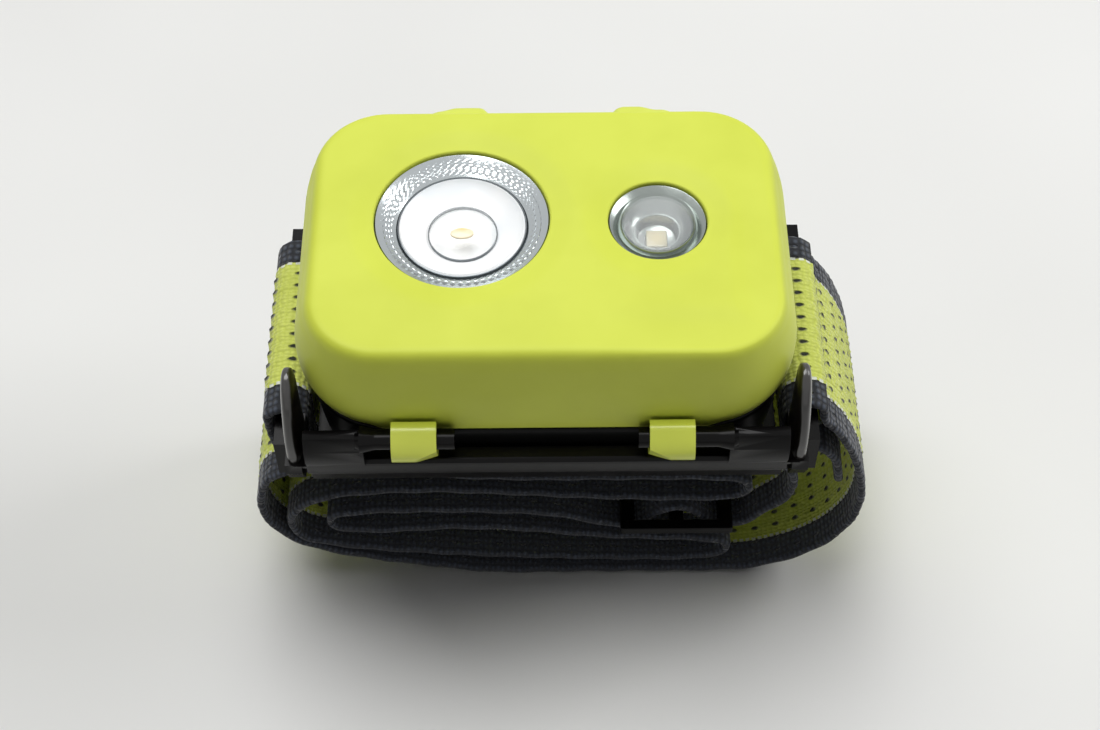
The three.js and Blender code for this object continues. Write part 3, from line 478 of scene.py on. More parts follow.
class HeadlampColours(bpy.types.PropertyGroup):
    """Colours of the surfaces that show."""

    shell: bpy.props.FloatVectorProperty(
        name="Shell", description="Soft-touch lime", default=colour("#D0DA50"), size=4, subtype="COLOR")
    shell_dark: bpy.props.FloatVectorProperty(
        name="Shell cloud", description="Clouds in the lime", default=colour("#C9D349"), size=4, subtype="COLOR")
    bracket: bpy.props.FloatVectorProperty(
        name="Bracket", description="Smoked plastic", default=colour("#0A0909"), size=4, subtype="COLOR")
    navy: bpy.props.FloatVectorProperty(
        name="Border", description="Navy yarn", default=colour("#12151C"), size=4, subtype="COLOR")
    # Painted highlight on the crowns of the navy ribs
    navy_highlight: bpy.props.FloatVectorProperty(
        name="Border light", description="Crown of the navy yarn", default=colour("#434955"), size=4, subtype="COLOR")
    lime: bpy.props.FloatVectorProperty(
        name="Mesh", description="Lime yarn", default=colour("#E6EE84"), size=4, subtype="COLOR")
    # The lime yarn's painted shade at its stitch rims, also used for random darker patches
    lime_shade_and_patches: bpy.props.FloatVectorProperty(
        name="Mesh shade", description="Lime yarn in its hollows", default=colour("#C3CD58"), size=4, subtype="COLOR")


# ---------------------------------------------------------------- lamp head

BODY_X, BODY_Y = 33.0, 22.0
HINGE = (22.9, -16.15)
HINGE_RADIUS = 1.45
SPLIT = 10  # step of a long side at which the face divides between the two lenses

# Outline of the shell from the face down and back up inside, as z, inset in x, inset in y and corner radius:
# a soft rounded edge, a slanting band, the widest line at z = -9, a tucked rear edge and the inner wall.
SHELL_TABLE = np.array([
    (0.0, 3.70, 2.50, 8.00), (-0.05, 3.30, 2.12, 8.38), (-0.15, 2.96, 1.82, 8.70), (-0.32, 2.66, 1.56, 8.98),
    (-0.55, 2.40, 1.34, 9.22), (-0.85, 2.18, 1.15, 9.44), (-1.20, 1.99, 0.99, 9.64), (-1.60, 1.82, 0.86, 9.82),
    (-2.05, 1.66, 0.75, 10.00), (-2.60, 1.42, 0.63, 10.28), (-3.20, 1.16, 0.52, 10.55), (-4.40, 0.78, 0.38, 10.85),
    (-6.00, 0.36, 0.20, 11.20), (-7.50, 0.10, 0.06, 11.42), (-9.00, 0.00, 0.00, 11.50), (-10.50, 0.04, 0.02, 11.46),
    (-12.00, 0.18, 0.10, 11.35), (-13.20, 0.42, 0.22, 11.15), (-14.40, 0.78, 0.40, 10.90),
    (-15.30, 1.15, 0.60, 10.65), (-15.78, 1.42, 0.74, 10.45), (-15.96, 1.66, 0.96, 10.20),
    (-16.00, 2.00, 1.30, 9.90), (-15.98, 2.80, 2.10, 9.10), (-15.60, 3.05, 2.35, 8.90), (-13.00, 2.90, 2.20, 9.00),
    (-9.00, 2.70, 2.00, 9.20), (-4.00, 3.10, 2.20, 8.90), (-2.40, 3.50, 2.60, 8.50), (-1.90, 3.80, 2.90, 8.20),
])


def rim_wave(x, y, z):
    """The parting line rises 0.9 mm outside the hooks on the lower side, and fades out above and below it."""
    across = fade((np.abs(x) - 20.5) / 3) * fade((-y - 12) / 6)
    return 0.9 * across * fade((-z - 11) / 5) * (1 - fade((-z - 17) / 6))


def lens_middle(node_name):
    """Centre and window radius of a lens, from its packed box: its flange is 1.4 mm wider than the window."""
    low, high = local_box(node_name)
    return (low[:2] + high[:2]) / 2, (high[0] - low[0]) / 2 - 1.4


SPOT, SPOT_RADIUS = lens_middle("spot_lens")
FLOOD, FLOOD_RADIUS = lens_middle("flood_lens")


def face_height(x, y, sizes):
    """Zero less a soft dish round each lens and a slope outside a crease that crosses the lower right corner."""
    width, depth = sizes.dish_width / MM, sizes.dish_depth / MM
    drop = np.zeros_like(x)
    for centre, radius in ((SPOT, SPOT_RADIUS), (FLOOD, FLOOD_RADIUS)):
        out = np.hypot(x - centre[0], y - centre[1]) - radius
        drop += depth * (1 - fade(out / width))
    right = fade((x - 23.5) / 3.0) * 0.22
    lower = fade((-y - 13.5) / 3.0) * 0.22
    corner = fade((x - 2.0) / 18)
    return -drop - np.maximum(right * fade((9 - y) / 12), lower * corner)


def face_halves(ring):
    """The outline of each lens's half of the face: its share of the ring and a line between the lenses."""
    top = ARC_STEPS + SPLIT
    bottom = 3 * ARC_STEPS + 3 * LINE_STEPS - SPLIT
    line = np.linspace(0, 1, 34)[1:-1, None]
    middle = ring[bottom] * (1 - line) + ring[top] * line
    left = np.concatenate([ring[top : bottom + 1], middle])
    right = np.concatenate([ring[bottom:], ring[: top + 1], middle[::-1]])
    return left, right


def face_patch(outline, centre, radius, rows, height):
    """Rays from the window's circle to the outline: a point goes from circle to outline as t goes from 0 to 1."""
    away = outline - centre
    circle = centre + radius * away / np.linalg.norm(away, axis=1)[:, None]
    t = (np.linspace(0, 1, rows) ** 1.5)[:, None, None]
    flat = circle * (1 - t) + outline * t
    z = height(flat[..., 0], flat[..., 1])
    return np.dstack([flat, z]), grid_faces(rows, len(outline), True)


LIP = 0.30  # how far a window's rounded lip reaches over the face
WINDOW_GAP = 0.15  # between a lens and the wall of its window
SLOT_HALF = 5.25  # half width of a button's slot
SHELL_BARRELS = (("left", -12.0, -4.3), ("right", 4.3, 12.0))  # hinge barrels from x to x


def window_wall(outline, centre, radius, height, floor):
    """The wall of a lens window on the same rays: a rounded lip, then straight down to the inner face."""
    away = outline - centre
    away = away / np.linalg.norm(away, axis=1)[:, None]
    lip = [(LIP, 0.0), (0.16, -0.03), (0.06, -0.12), (0.01, -0.26), (0.0, -0.45)]
    edge = centre + (radius + LIP) * away
    top = height(edge[:, 0], edge[:, 1])
    rows = [np.column_stack([centre + (radius + out) * away, top + down]) for out, down in lip]
    for across in (radius, radius + LIP):
        rows.append(np.column_stack([centre + across * away, np.full(len(away), floor)]))
    return np.array(rows), grid_faces(len(rows), len(away), True)


def loft(table, steps):
    """Rounded rectangles along a table of z, insets and corner, with a smooth curve through its rows."""
    at = np.linspace(0, len(table) - 1, (len(table) - 1) * steps + 1)
    index = np.arange(len(table))
    z, inset_x, inset_y, corner = (smooth_curve(at, index, table[:, k]) for k in range(4))
    flat = rounded_ring(BODY_X - inset_x, BODY_Y - inset_y, corner)
    z = np.repeat(z[:, None], flat.shape[1], 1)
    return np.dstack([flat, z + rim_wave(flat[..., 0], flat[..., 1], z)])


def barrel(x0, x1, turn):
    """A hinge barrel with its web to the wall: an arc round the pin and two flanks; turn is 1 or -1 in z."""
    round_part = arc(HINGE[0], 0.0, HINGE_RADIUS, 118, -140, 22)
    outline = np.concatenate([[(20.3, 2.2)], round_part, [(20.6, -0.1)]])
    outline[:, 1] = HINGE[1] + turn * outline[:, 1]
    return prism(outline, x0, x1)


class HEADLAMP_OT_shell(bpy.types.Operator):
    """Front shell with two windows, button slots and hinge barrels"""

    bl_idname = "headlamp.shell"
    bl_label = "Front shell"

    def execute(self, context):
        sizes, colours = context.scene.headlamp_sizes, context.scene.headlamp_colours
        # Soft-touch polyurethane over ABS: matte, with a velvety sheen at grazing angles and a fine grain.
        soft = moulded("soft-touch coated ABS", colours.shell, colours.shell_dark, 0.5, 0.22, 0.012,
                       Sheen_Weight=0.03, Specular_IOR_Level=0.26)

        def height(x, y):
            return face_height(x, y, sizes)

        def lid(x, y):
            return np.full(x.shape, SHELL_TABLE[-1, 0])

        skin = loft(SHELL_TABLE, 3)
        edge = height(skin[0, :, 0], skin[0, :, 1])
        skin[:11, :, 2] += np.linspace(1, 0, 11)[:, None] * edge
        patches = [(skin, grid_faces(*skin.shape[:2], True))]
        outer, inner = face_halves(skin[0, :, :2]), face_halves(skin[-1, :, :2])
        for k, (centre, radius) in enumerate(((SPOT, SPOT_RADIUS), (FLOOD, FLOOD_RADIUS))):
            window = radius + WINDOW_GAP
            patches.append(face_patch(outer[k], centre, window + LIP, 30, height))
            patches.append(window_wall(outer[k], centre, window, height, SHELL_TABLE[-1, 0]))
            patches.append(face_patch(inner[k], centre, window + LIP, 4, lid))
        shell = new_object("front_shell_skin", patches, soft, "lamp_head", ["front_shell"])
        slots = []
        for button, *_ in BUTTONS:
            low, high = local_box(button)
            middle = (low[0] + high[0]) / 2
            slots.append(box_patch((middle - SLOT_HALF, 17.0, -6.8), (middle + SLOT_HALF, 25.0, -1.6)))
        cut_away(shell, slots)
        for name, x0, x1 in SHELL_BARRELS:
            part = new_object("shell_hinge_barrel_" + name, barrel(x0, x1, 1), soft, "lamp_head")
            bevelled(part, 0.2)
        return {"FINISHED"}


# A button's name, the x of its pad, the pad's width and the sign of x from the pad to the lamp's middle.
BUTTONS = (("spot_button", -10.2, 4.4, 1), ("flood_button", 11.5, 4.0, -1))
CAP_MIDDLE_Z, CAP_SHOULDER = -4.2, 21.25


def button_cap(middle_x, pad, pad_width, inner):
    """A cap over a rounded rectangle: rings shrink to the middle while the height follows a flattened dome, and a
    pad rises on it, steep on the lamp's inner side and long on its outer side. Below, the wall goes straight in."""
    ring = rounded_ring(4.95, 2.3, 1.7, (0.0, 0.0))
    q = np.concatenate([[0.0], np.sin(np.linspace(0.12, 1, 22) * math.pi / 2)])[:, None]
    x = q * ring[..., 0]
    dome = 1.35 * (1 - q ** 7)
    toward = inner * (x + middle_x - pad)
    pad_shape = fade((pad_width / 2 + 0.5 - toward) / 1.1) * fade((toward + pad_width / 2 + 2.2) / 2.6)
    y = CAP_SHOULDER + dome + 0.75 * pad_shape * (1 - q ** 6)
    scale = np.concatenate([q, [[1.0], [1.0], [1.0], [0.0]]])
    wall = np.array([20.6, 19.4, 18.5, 18.5])[:, None] + 0 * ring[..., 0]
    cap = np.stack([scale * ring[..., 0] + middle_x, np.concatenate([y, wall]),
                    scale * ring[..., 1] + CAP_MIDDLE_Z], -1)
    return [(cap, grid_faces(*cap.shape[:2], True))]


class HEADLAMP_OT_buttons(bpy.types.Operator):
    """The two push buttons on the upper edge"""

    bl_idname = "headlamp.buttons"
    bl_label = "Buttons"

    def execute(self, context):
        colours = context.scene.headlamp_colours
        # Silicone rubber in the shell's lime: a little glossier than the coating, with the same fine grain.
        rubber = moulded("lime silicone rubber", colours.shell, colours.shell_dark, 0.46, 0.25, 0.01,
                         Sheen_Weight=0.1)
        for name, pad, pad_width, inner in BUTTONS:
            low, high = local_box(name)
            patches = button_cap((low[0] + high[0]) / 2, pad, pad_width, inner)
            new_object(name + "_cap", patches, rubber, name, [name])
        return {"FINISHED"}


# ---------------------------------------------------------------- lenses


def hammered(radius, z, angle):
    """Rings of shallow dimples: a product of a wave along the radius and one round the axis, 0.1 mm high."""
    on = fade((radius - 8.9) / 0.3) * fade((11.0 - radius) / 0.3)
    return 0.1 * on * np.cos(radius * TAU / 0.72) * np.cos(angle * 64 + np.round(radius / 0.72) * math.pi)


class HEADLAMP_OT_spot(bpy.types.Operator):
    """Spot optic: a hammered ring, a bright cup, a bull's-eye lens and the chip behind it"""

    bl_idname = "headlamp.spot"
    bl_label = "Spot lens"

    def execute(self, context):
        rim = -context.scene.headlamp_sizes.lens_recess / MM
        # Moulded acrylic optic seen by total reflection: silver-white, mirror-smooth, faint bluish tint.
        silver = metal("totally reflecting acrylic", "#B4BABC", 0.16, 0.5)
        # The cup is clear acrylic that shines by total reflection; its white base colour is a painted reflection
        # standing in for that.
        cup = moulded("acrylic cup painted white for its reflection", "#FFFFFF", "#F2F8FC", 0.24, 0.6, 0.004,
                      Specular_IOR_Level=0.6)
        dark, _ = principled("shadowed acrylic edge", "#6E7478", 0.25, Metallic=0.4)
        profile = [(SPOT_RADIUS, -4.6), (SPOT_RADIUS, rim - 0.15), (SPOT_RADIUS - 0.06, rim - 0.04),
                   (SPOT_RADIUS - 0.14, rim - 0.08)]
        ring = np.linspace(11.05, 8.75, 30)
        profile += [(r, rim - 0.25 - (11.05 - r) * 0.55) for r in ring]
        profile += [(8.62, rim - 1.9), (8.45, rim - 1.95)]
        flat = [(8.4, rim - 1.45), (8.2, rim - 1.3)]
        t = np.linspace(0, 1, 26)
        cup_rows = [(8.1 - 3.9 * s, rim - 1.4 - 2.0 * s ** 0.8) for s in t]
        floor = [(3.4, rim - 3.5), (2.0, rim - 3.55), (0.0, rim - 3.55)]
        optic("spot_reflector_ring", profile, SPOT, 192, -7.0, silver, ["spot_lens"], hammered)
        optic("spot_reflector_cup", flat + cup_rows + floor, SPOT, 128, -7.6, cup)
        line = [(8.62, rim - 1.5), (8.58, rim - 1.32), (8.48, rim - 1.3), (8.42, rim - 1.45)]
        optic("spot_cup_rim", line, SPOT, 96, -3.4, dark)
        clear = clear_acrylic("clear acrylic bull's eye", 0.2)
        dome = [(4.55, rim - 3.4), (4.5, rim - 2.9)] + [
            (4.5 * math.cos(a), rim - 2.9 + 1.7 * math.sin(a)) for a in np.linspace(0.12, math.pi / 2, 16)
        ]
        optic("spot_bulls_eye", dome, SPOT, 96, -4.9, clear)
        outline = [(4.66, rim - 3.3), (4.64, rim - 2.85), (4.54, rim - 2.8), (4.5, rim - 3.3)]
        optic("spot_eye_rim", outline, SPOT, 96, -4.9, dark)
        glow = phosphor("yellow phosphor over a blue chip", "#F3CF6A", "#F6E6C4", (*SPOT, rim - 1.2), 1.3)
        bead = [(1.55 * math.cos(a), rim - 1.22 + 0.12 * math.sin(a)) for a in np.linspace(0, math.pi / 2, 8)]
        points, faces = closed_lathe(bead, SPOT, 48, rim - 1.5)
        points[..., 1] = SPOT[1] - 1.3 + (points[..., 1] - SPOT[1]) * 0.55
        new_object("spot_chip_image", [(points, faces)], glow, "lamp_head")
        return {"FINISHED"}


def closed_lathe(profile, centre, steps, back, wave=None):
    """A turned profile closed behind: a ring carries it round to its foot, or a disc runs in to the axis."""
    foot, last = (profile[0][0], back), profile[-1][0]
    if last > 0:
        rows = [foot, *profile, (last, back + 0.02), foot]
    else:
        rows = [(0.0, back), foot, *profile]
    return lathe(rows, centre, steps, wave)


def optic(name, profile, centre, steps, back, material, replaces=(), wave=None):
    """A turned piece of a lens, closed behind, that rides on the lamp head."""
    patch = closed_lathe(profile, centre, steps, back, wave)
    return new_object(name, [patch], material, "lamp_head", replaces)


def clear_acrylic(name, alpha):
    """Polished clear acrylic: thin, nearly colourless, with sharp highlights and faint moulding ripple."""
    material, shader = principled(name, "#F4F8FA", 0.04, Alpha=alpha, IOR=1.49, Coat_Weight=1.0,
                                  Coat_Roughness=0.03)
    where = node(material, "ShaderNodeTexCoord")
    ripple = node(material, "ShaderNodeTexNoise", {"Scale": 1 / (2.5 * MM)}, {"Vector": (where, "Object")})
    relief = {"Strength": 0.15, "Distance": 0.05 * MM}
    feed(material, shader, "Normal", node(material, "ShaderNodeBump", relief, {"Height": (ripple, 0)}))
    return material


class HEADLAMP_OT_flood(bpy.types.Operator):
    """Flood optic: a stepped clear disc over a square chip"""

    bl_idname = "headlamp.flood"
    bl_label = "Flood lens"

    def execute(self, context):
        rim = -context.scene.headlamp_sizes.lens_recess / MM
        silver = metal("totally reflecting acrylic disc", "#959C98", 0.22, 0.6)
        profile = [
            (6.4, -4.4), (6.4, rim - 0.12), (6.36, rim - 0.04), (6.28, rim - 0.08), (5.35, rim - 0.75),
            (5.15, rim - 0.2), (4.95, rim + 0.02), (4.8, rim - 0.1), (4.4, rim - 0.7), (3.9, rim - 1.5),
            (3.4, rim - 2.1), (3.15, rim - 2.2), (3.05, rim - 2.0), (2.9, rim - 2.0), (2.8, rim - 2.3), (2.7, rim - 3.2),
            (2.5, rim - 3.7), (2.1, rim - 3.9), (0.0, rim - 3.9),
        ]
        optic("flood_reflector", profile, FLOOD, 128, -6.2, silver, ["flood_lens"])
        glow = phosphor("cream phosphor square", "#E9D9A8", "#CFC6A2", (*FLOOD, rim - 3.4), 1.9)
        square = box_patch((*(FLOOD - 1.4), rim - 3.85), (*(FLOOD + 1.4), rim - 3.35))
        chip = new_object("flood_chip", [square], glow, "lamp_head")
        bevelled(chip, 0.25)
        clear = clear_acrylic("clear acrylic disc", 0.16)
        dome = [(4.75, rim - 0.35)] + [
            (4.7 * math.cos(a), rim - 0.3 + 0.28 * math.sin(a)) for a in np.linspace(0.1, math.pi / 2, 12)
        ]
        optic("flood_clear_cap", dome, FLOOD, 96, rim - 0.6, clear)
        return {"FINISHED"}


# ---------------------------------------------------------------- battery cover and bracket

COVER_TABLE = np.array([
    (-17.90, 3.05, 2.35, 8.90), (-16.60, 3.00, 2.30, 9.00), (-16.34, 2.80, 2.10, 9.10), (-16.30, 2.00, 1.30, 9.90),
    (-16.36, 1.62, 0.92, 10.24), (-16.56, 1.44, 0.74, 10.44), (-17.20, 1.42, 0.72, 10.46),
    (-19.87, 1.80, 1.00, 10.20), (-23.20, 2.20, 1.30, 9.90), (-25.60, 2.62, 1.62, 9.60), (-26.90, 3.05, 2.05, 9.20),
    (-27.80, 3.80, 2.70, 8.80), (-28.15, 4.60, 3.50, 8.20), (-28.20, 5.60, 4.50, 7.50), (-28.20, 21.0, 20.0, 1.0),
    (-28.20, 33.0, 22.0, 0.0),
])
COVER_INSIDE_TABLE = np.array([
    (-17.90, 3.05, 2.35, 8.90), (-18.40, 3.10, 2.40, 10.46), (-22.00, 3.60, 2.70, 9.90), (-24.40, 4.10, 3.10, 9.60),
    (-25.60, 4.80, 3.70, 9.20), (-26.50, 6.00, 4.90, 8.20), (-26.60, 7.00, 5.90, 7.50), (-26.60, 21.0, 20.0, 1.0),
    (-26.60, 33.0, 22.0, 0.0),
])
PIVOT = (-23.6, -15.4)  # axis of the tilt hinge, in y and z
SEAT_RADIUS = 1.6
HOOK_HALF = 2.95
HOOKS = (("left", -17.25, 1), ("right", 16.35, -1))  # middle in x and the side of the facet
# Back of a hook from its root under the wall to its tip, as y and z from the pivot.
HOOK_BACK = np.array([
    (1.2, -3.6), (-0.1, -3.3), (-1.3, -2.75), (-2.3, -2.0), (-2.85, -0.9), (-2.8, 0.1), (-2.2, 1.15),
    (-1.35, 2.05), (-0.3, 2.75), (0.9, 2.75),
])
# Three points of the facet on a hook's inner lower corner, as x from its middle and y and z from the pivot.
HOOK_FACET = ((2.95, -2.8, 1.3), (0.3, -2.3, -1.9), (2.95, -0.6, -3.1))


def hook(middle):
    """A snap hook about the pivot: a C open towards the shell, carried along x."""
    at = np.linspace(0, len(HOOK_BACK) - 1, 33)
    index = np.arange(len(HOOK_BACK))
    back = np.column_stack([smooth_curve(at, index, HOOK_BACK[:, k]) for k in range(2)])
    seat = arc(0.0, 0.0, SEAT_RADIUS, 60, 330, 24)
    outline = np.concatenate([[(2.7, -3.9)], back, seat, [(2.7, -1.2)]]) + PIVOT
    return prism(outline, middle - HOOK_HALF, middle + HOOK_HALF)


class HEADLAMP_OT_cover(bpy.types.Operator):
    """Battery cover: a tub with two snap hooks and the middle hinge barrel"""

    bl_idname = "headlamp.cover"
    bl_label = "Battery cover"

    def execute(self, context):
        sizes = context.scene.headlamp_sizes
        # Polycarbonate blend, polished tool: satin gloss with soft flow clouds and shallow scuffs. Its lime is
        # lighter than the shell's: painted light for the hooks' upward faces.
        gloss = moulded("polished lime polycarbonate with painted light", "#E3ED58", "#DBE64F", 0.3, 0.5, 0.006, Coat_Weight=0.35)
        skins = [loft(table, 2) for table in (COVER_TABLE, COVER_INSIDE_TABLE)]
        patches = [(skin, grid_faces(*skin.shape[:2], True)) for skin in skins]
        # Black ABS blend from a fine textured tool, a little worn to gloss on its corners.
        black = moulded("black ABS of the cover", "#0B0B0B", "#080808", 0.42, 0.4, 0.012,
                        Specular_IOR_Level=0.1)
        new_object("battery_cover_tub", patches, black, "battery_cover", ["battery_cover"])
        for name, middle, inner in HOOKS:
            part = new_object("cover_hook_" + name, hook(middle), gloss, "battery_cover", sharp=30)
            corners = [(middle + inner * x, PIVOT[0] + y, PIVOT[1] + z) for x, y, z in HOOK_FACET]
            facet(part, corners if inner > 0 else corners[::-1])
            bevelled(part, sizes.hook_bevel / MM)
        part = new_object("cover_hinge_barrel", barrel(-4.0, 4.0, -1), gloss, "battery_cover")
        bevelled(part, 0.2)
        return {"FINISHED"}


def from_node(name, source, material, body, width):
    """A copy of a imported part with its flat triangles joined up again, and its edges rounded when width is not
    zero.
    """
    mesh = bpy.data.objects[source].data.copy()
    mesh.materials.clear()
    tidy_mesh(mesh, 32, 1e-5, 1.5)
    obj = add_object(name, mesh, material, body, [source])
    return bevelled(obj, width) if width else obj


# An ear from foot to tip: z, middle in y, half depth in y, inner face and outer face in x.
EAR_TABLE = np.array([
    (-21.0, -19.9, 4.10, 32.40, 34.80), (-19.4, -19.8, 4.05, 32.45, 34.80), (-17.6, -19.6, 3.95, 32.55, 34.80),
    (-15.8, -19.3, 3.70, 32.60, 34.78), (-14.0, -18.95, 3.35, 32.62, 34.74), (-12.2, -18.6, 2.95, 32.64, 34.68),
    (-10.8, -18.3, 2.50, 32.68, 34.60), (-9.7, -18.1, 2.05, 32.74, 34.50), (-8.9, -18.0, 1.50, 32.86, 34.34),
    (-8.4, -18.0, 0.90, 33.06, 34.12), (-8.15, -18.0, 0.02, 33.54, 33.56),
])


def ear(side):
    """A blade that stands beside the lamp: ovals with flattened flanks that shrink to a round tip."""
    rows, columns = 61, 56
    at = np.linspace(0, len(EAR_TABLE) - 1, rows)
    index = np.arange(len(EAR_TABLE))
    z, middle, depth, inner, outer = (smooth_curve(at, index, EAR_TABLE[:, k])[:, None] for k in range(5))
    angle = (np.arange(columns) * TAU / columns)[None]
    flank = np.sign(np.cos(angle)) * np.abs(np.cos(angle)) ** 0.62
    x = side * ((inner + outer) / 2 + (outer - inner) / 2 * flank)
    y = middle + depth * np.sign(np.sin(angle)) * np.abs(np.sin(angle)) ** 0.9
    points = np.dstack([x, y, z + 0 * angle])
    return [(points, grid_faces(rows, columns, True), np.arange(columns), np.arange(columns) + (rows - 1) * columns)]


class HEADLAMP_OT_bracket(bpy.types.Operator):
    """Strap bracket and the band's slider"""

    bl_idname = "headlamp.bracket"
    bl_label = "Bracket and slider"

    def execute(self, context):
        colours = context.scene.headlamp_colours
        # Smoked polycarbonate from a polished tool: near black, glossy, brownish in thin parts, fine scuffs.
        smoke = moulded("smoked polycarbonate", colours.bracket, "#060505", 0.22, 0.9, 0.008,
                        Specular_IOR_Level=0.12)
        # The same plastic where it is thin: browner, and polished by handling.
        tinted = moulded("thin smoked polycarbonate", "#17130F", "#0D0B09", 0.3, 0.7, 0.006,
                         Specular_IOR_Level=0.7, Coat_Weight=0.4)
        plate = from_node("strap_bracket", "bracket", smoke, "bracket", 0.0)
        foot = EAR_TABLE[0, 0] + 0.4
        cut_away(plate, [box_patch((x0, -30.0, foot), (x0 + 3.4, -14.0, -5.0)) for x0 in (-35.2, 31.8)])
        for name, side in (("left", -1), ("right", 1)):
            new_object("bracket_ear_" + name, ear(side), tinted, "bracket")
        from_node("strap_slider", "headband_slider", smoke, "bracket", 0.35)
        return {"FINISHED"}


# ---------------------------------------------------------------- headband

HOLE_ALONG, HOLE_ACROSS = 3.5, 2.15
SEAM_AT = 10.6  # seam between mesh and border, from the band's middle
STRAP_HALF, STRAP_THICK, EDGE_RADIUS = 15.0, 1.6, 0.7
PLATE_UNDER, PLATE_X = -30.6, 31.9
BAR_X, BAR_UNDER = 35.75, -26.1
FOLDS = [
    [38.4, -5.2], [40.9, -1.6], [43.5, 4.0], [45.3, 10.5], [45.9, 16.5], [44.9, 22.2], [41.9, 27.8],
    [37.2, 32.0], [31.0, 34.7], [24.0, 35.3], [16.0, 35.3], [4.0, 35.3], [-8.0, 35.3], [-18.0, 33.3],
    [-27.0, 30.9], [-34.5, 28.0], [-39.4, 24.0], [-41.9, 18.0], [-41.4, 12.0], [-39.4, 8.2], [-35.0, 6.2],
    [-28.5, 6.1], [-20.0, 7.4], [-5.0, 8.6], [10.0, 8.8], [22.0, 9.0], [27.4, 9.8], [29.3, 12.0],
    [27.4, 14.2], [22.0, 14.6], [8.0, 14.0], [-6.0, 12.6], [-17.0, 11.8], [-27.0, 12.4], [-33.0, 14.0],
    [-36.8, 17.2], [-38.2, 20.8], [-36.6, 25.0], [-31.0, 27.2], [-22.0, 28.9], [-7.0, 30.6], [8.0, 31.6],
    [21.0, 31.8], [25.6, 30.9], [27.2, 29.0], [25.4, 27.0], [20.0, 26.0], [8.0, 25.0], [-4.0, 22.9],
    [-14.0, 22.2], [-24.0, 23.0], [-30.4, 22.6], [-32.4, 20.6], [-30.6, 18.5], [-24.0, 17.5], [-12.0, 17.5],
    [0.0, 18.6],
]
AFTER_SLIDER = [
    [31.5, 19.0], [34.9, 14.8], [35.6, 10.0], [33.4, 5.6], [28.0, 3.0], [20.0, 1.7], [8.0, 1.3],
    [-8.0, 1.3], [-22.0, 1.3],
]
SLIDER_X, SLIDER_DEPTH, SLIDER_PITCH = 19.0, 19.8, 7.2


def over_bar(side):
    """Seven points of a half turn over a side bar, from its slot to its outside."""
    reach = 2.7 / 2 + 0.45 + STRAP_THICK / 2
    angle = math.pi * (1 - np.arange(7) / 6)
    top = BAR_UNDER + 2.6 - 1.35 + 0.7
    return np.column_stack([side * (BAR_X + reach * np.cos(angle)), top + reach * np.sin(angle)])


def band_route():
    """The band's middle line in x and z, and the length up to each of its points: a Catmull-Rom curve."""

    def below(points):
        return np.array(points) * (1, -1) + (0, PLATE_UNDER)

    rise = 0.8 + 0.45 + STRAP_THICK / 2
    share = np.array([-1.35, -0.85, -0.2, 0.2, 0.85, 1.35])
    up = np.array([-1, -1, 1, 1, -1, -1]) * rise
    weave = np.column_stack([SLIDER_X + share * SLIDER_PITCH, PLATE_UNDER - SLIDER_DEPTH + up])
    turn = np.radians([90, 45, 0])
    reach = 0.45 + STRAP_THICK / 2 + 0.05
    corner = np.column_stack([-PLATE_X - reach * np.cos(turn), PLATE_UNDER - reach * np.sin(turn)])
    slot = np.array([[BAR_X - 1.35 - 0.45 - 0.8, PLATE_UNDER + 2.0]])
    points = np.concatenate([
        below([[42.0, 10.0], [41.2, 5.6], [39.0, 2.2], [35.8, 0.6]]), slot, over_bar(1)[:6], below(FOLDS), weave,
        below(AFTER_SLIDER), corner, over_bar(-1), below([[-37.6, 0.2], [-35.4, 2.9], [-31.5, 3.6], [-25.0, 3.7]]),
    ])
    before = np.concatenate([points[:1], points, points[-1:]])
    t = np.linspace(0, 1, 40, endpoint=False)[:, None]
    pieces = []
    p0, p1, p2, p3 = (before[k : len(points) - 1 + k] for k in range(4))
    v0, v1 = (p2 - p0) / 2, (p3 - p1) / 2
    for k in range(len(points) - 1):
        a, b = p1[k], p2[k]
        cubic = (2 * a - 2 * b + v0[k] + v1[k]) * t**3 + (-3 * a + 3 * b - 2 * v0[k] - v1[k]) * t**2
        pieces.append(cubic + v0[k] * t + a)
    curve = np.concatenate(pieces + [points[-1:]])
    length = np.concatenate([[0], np.cumsum(np.linalg.norm(np.diff(curve, axis=0), axis=1))])
    return curve, length


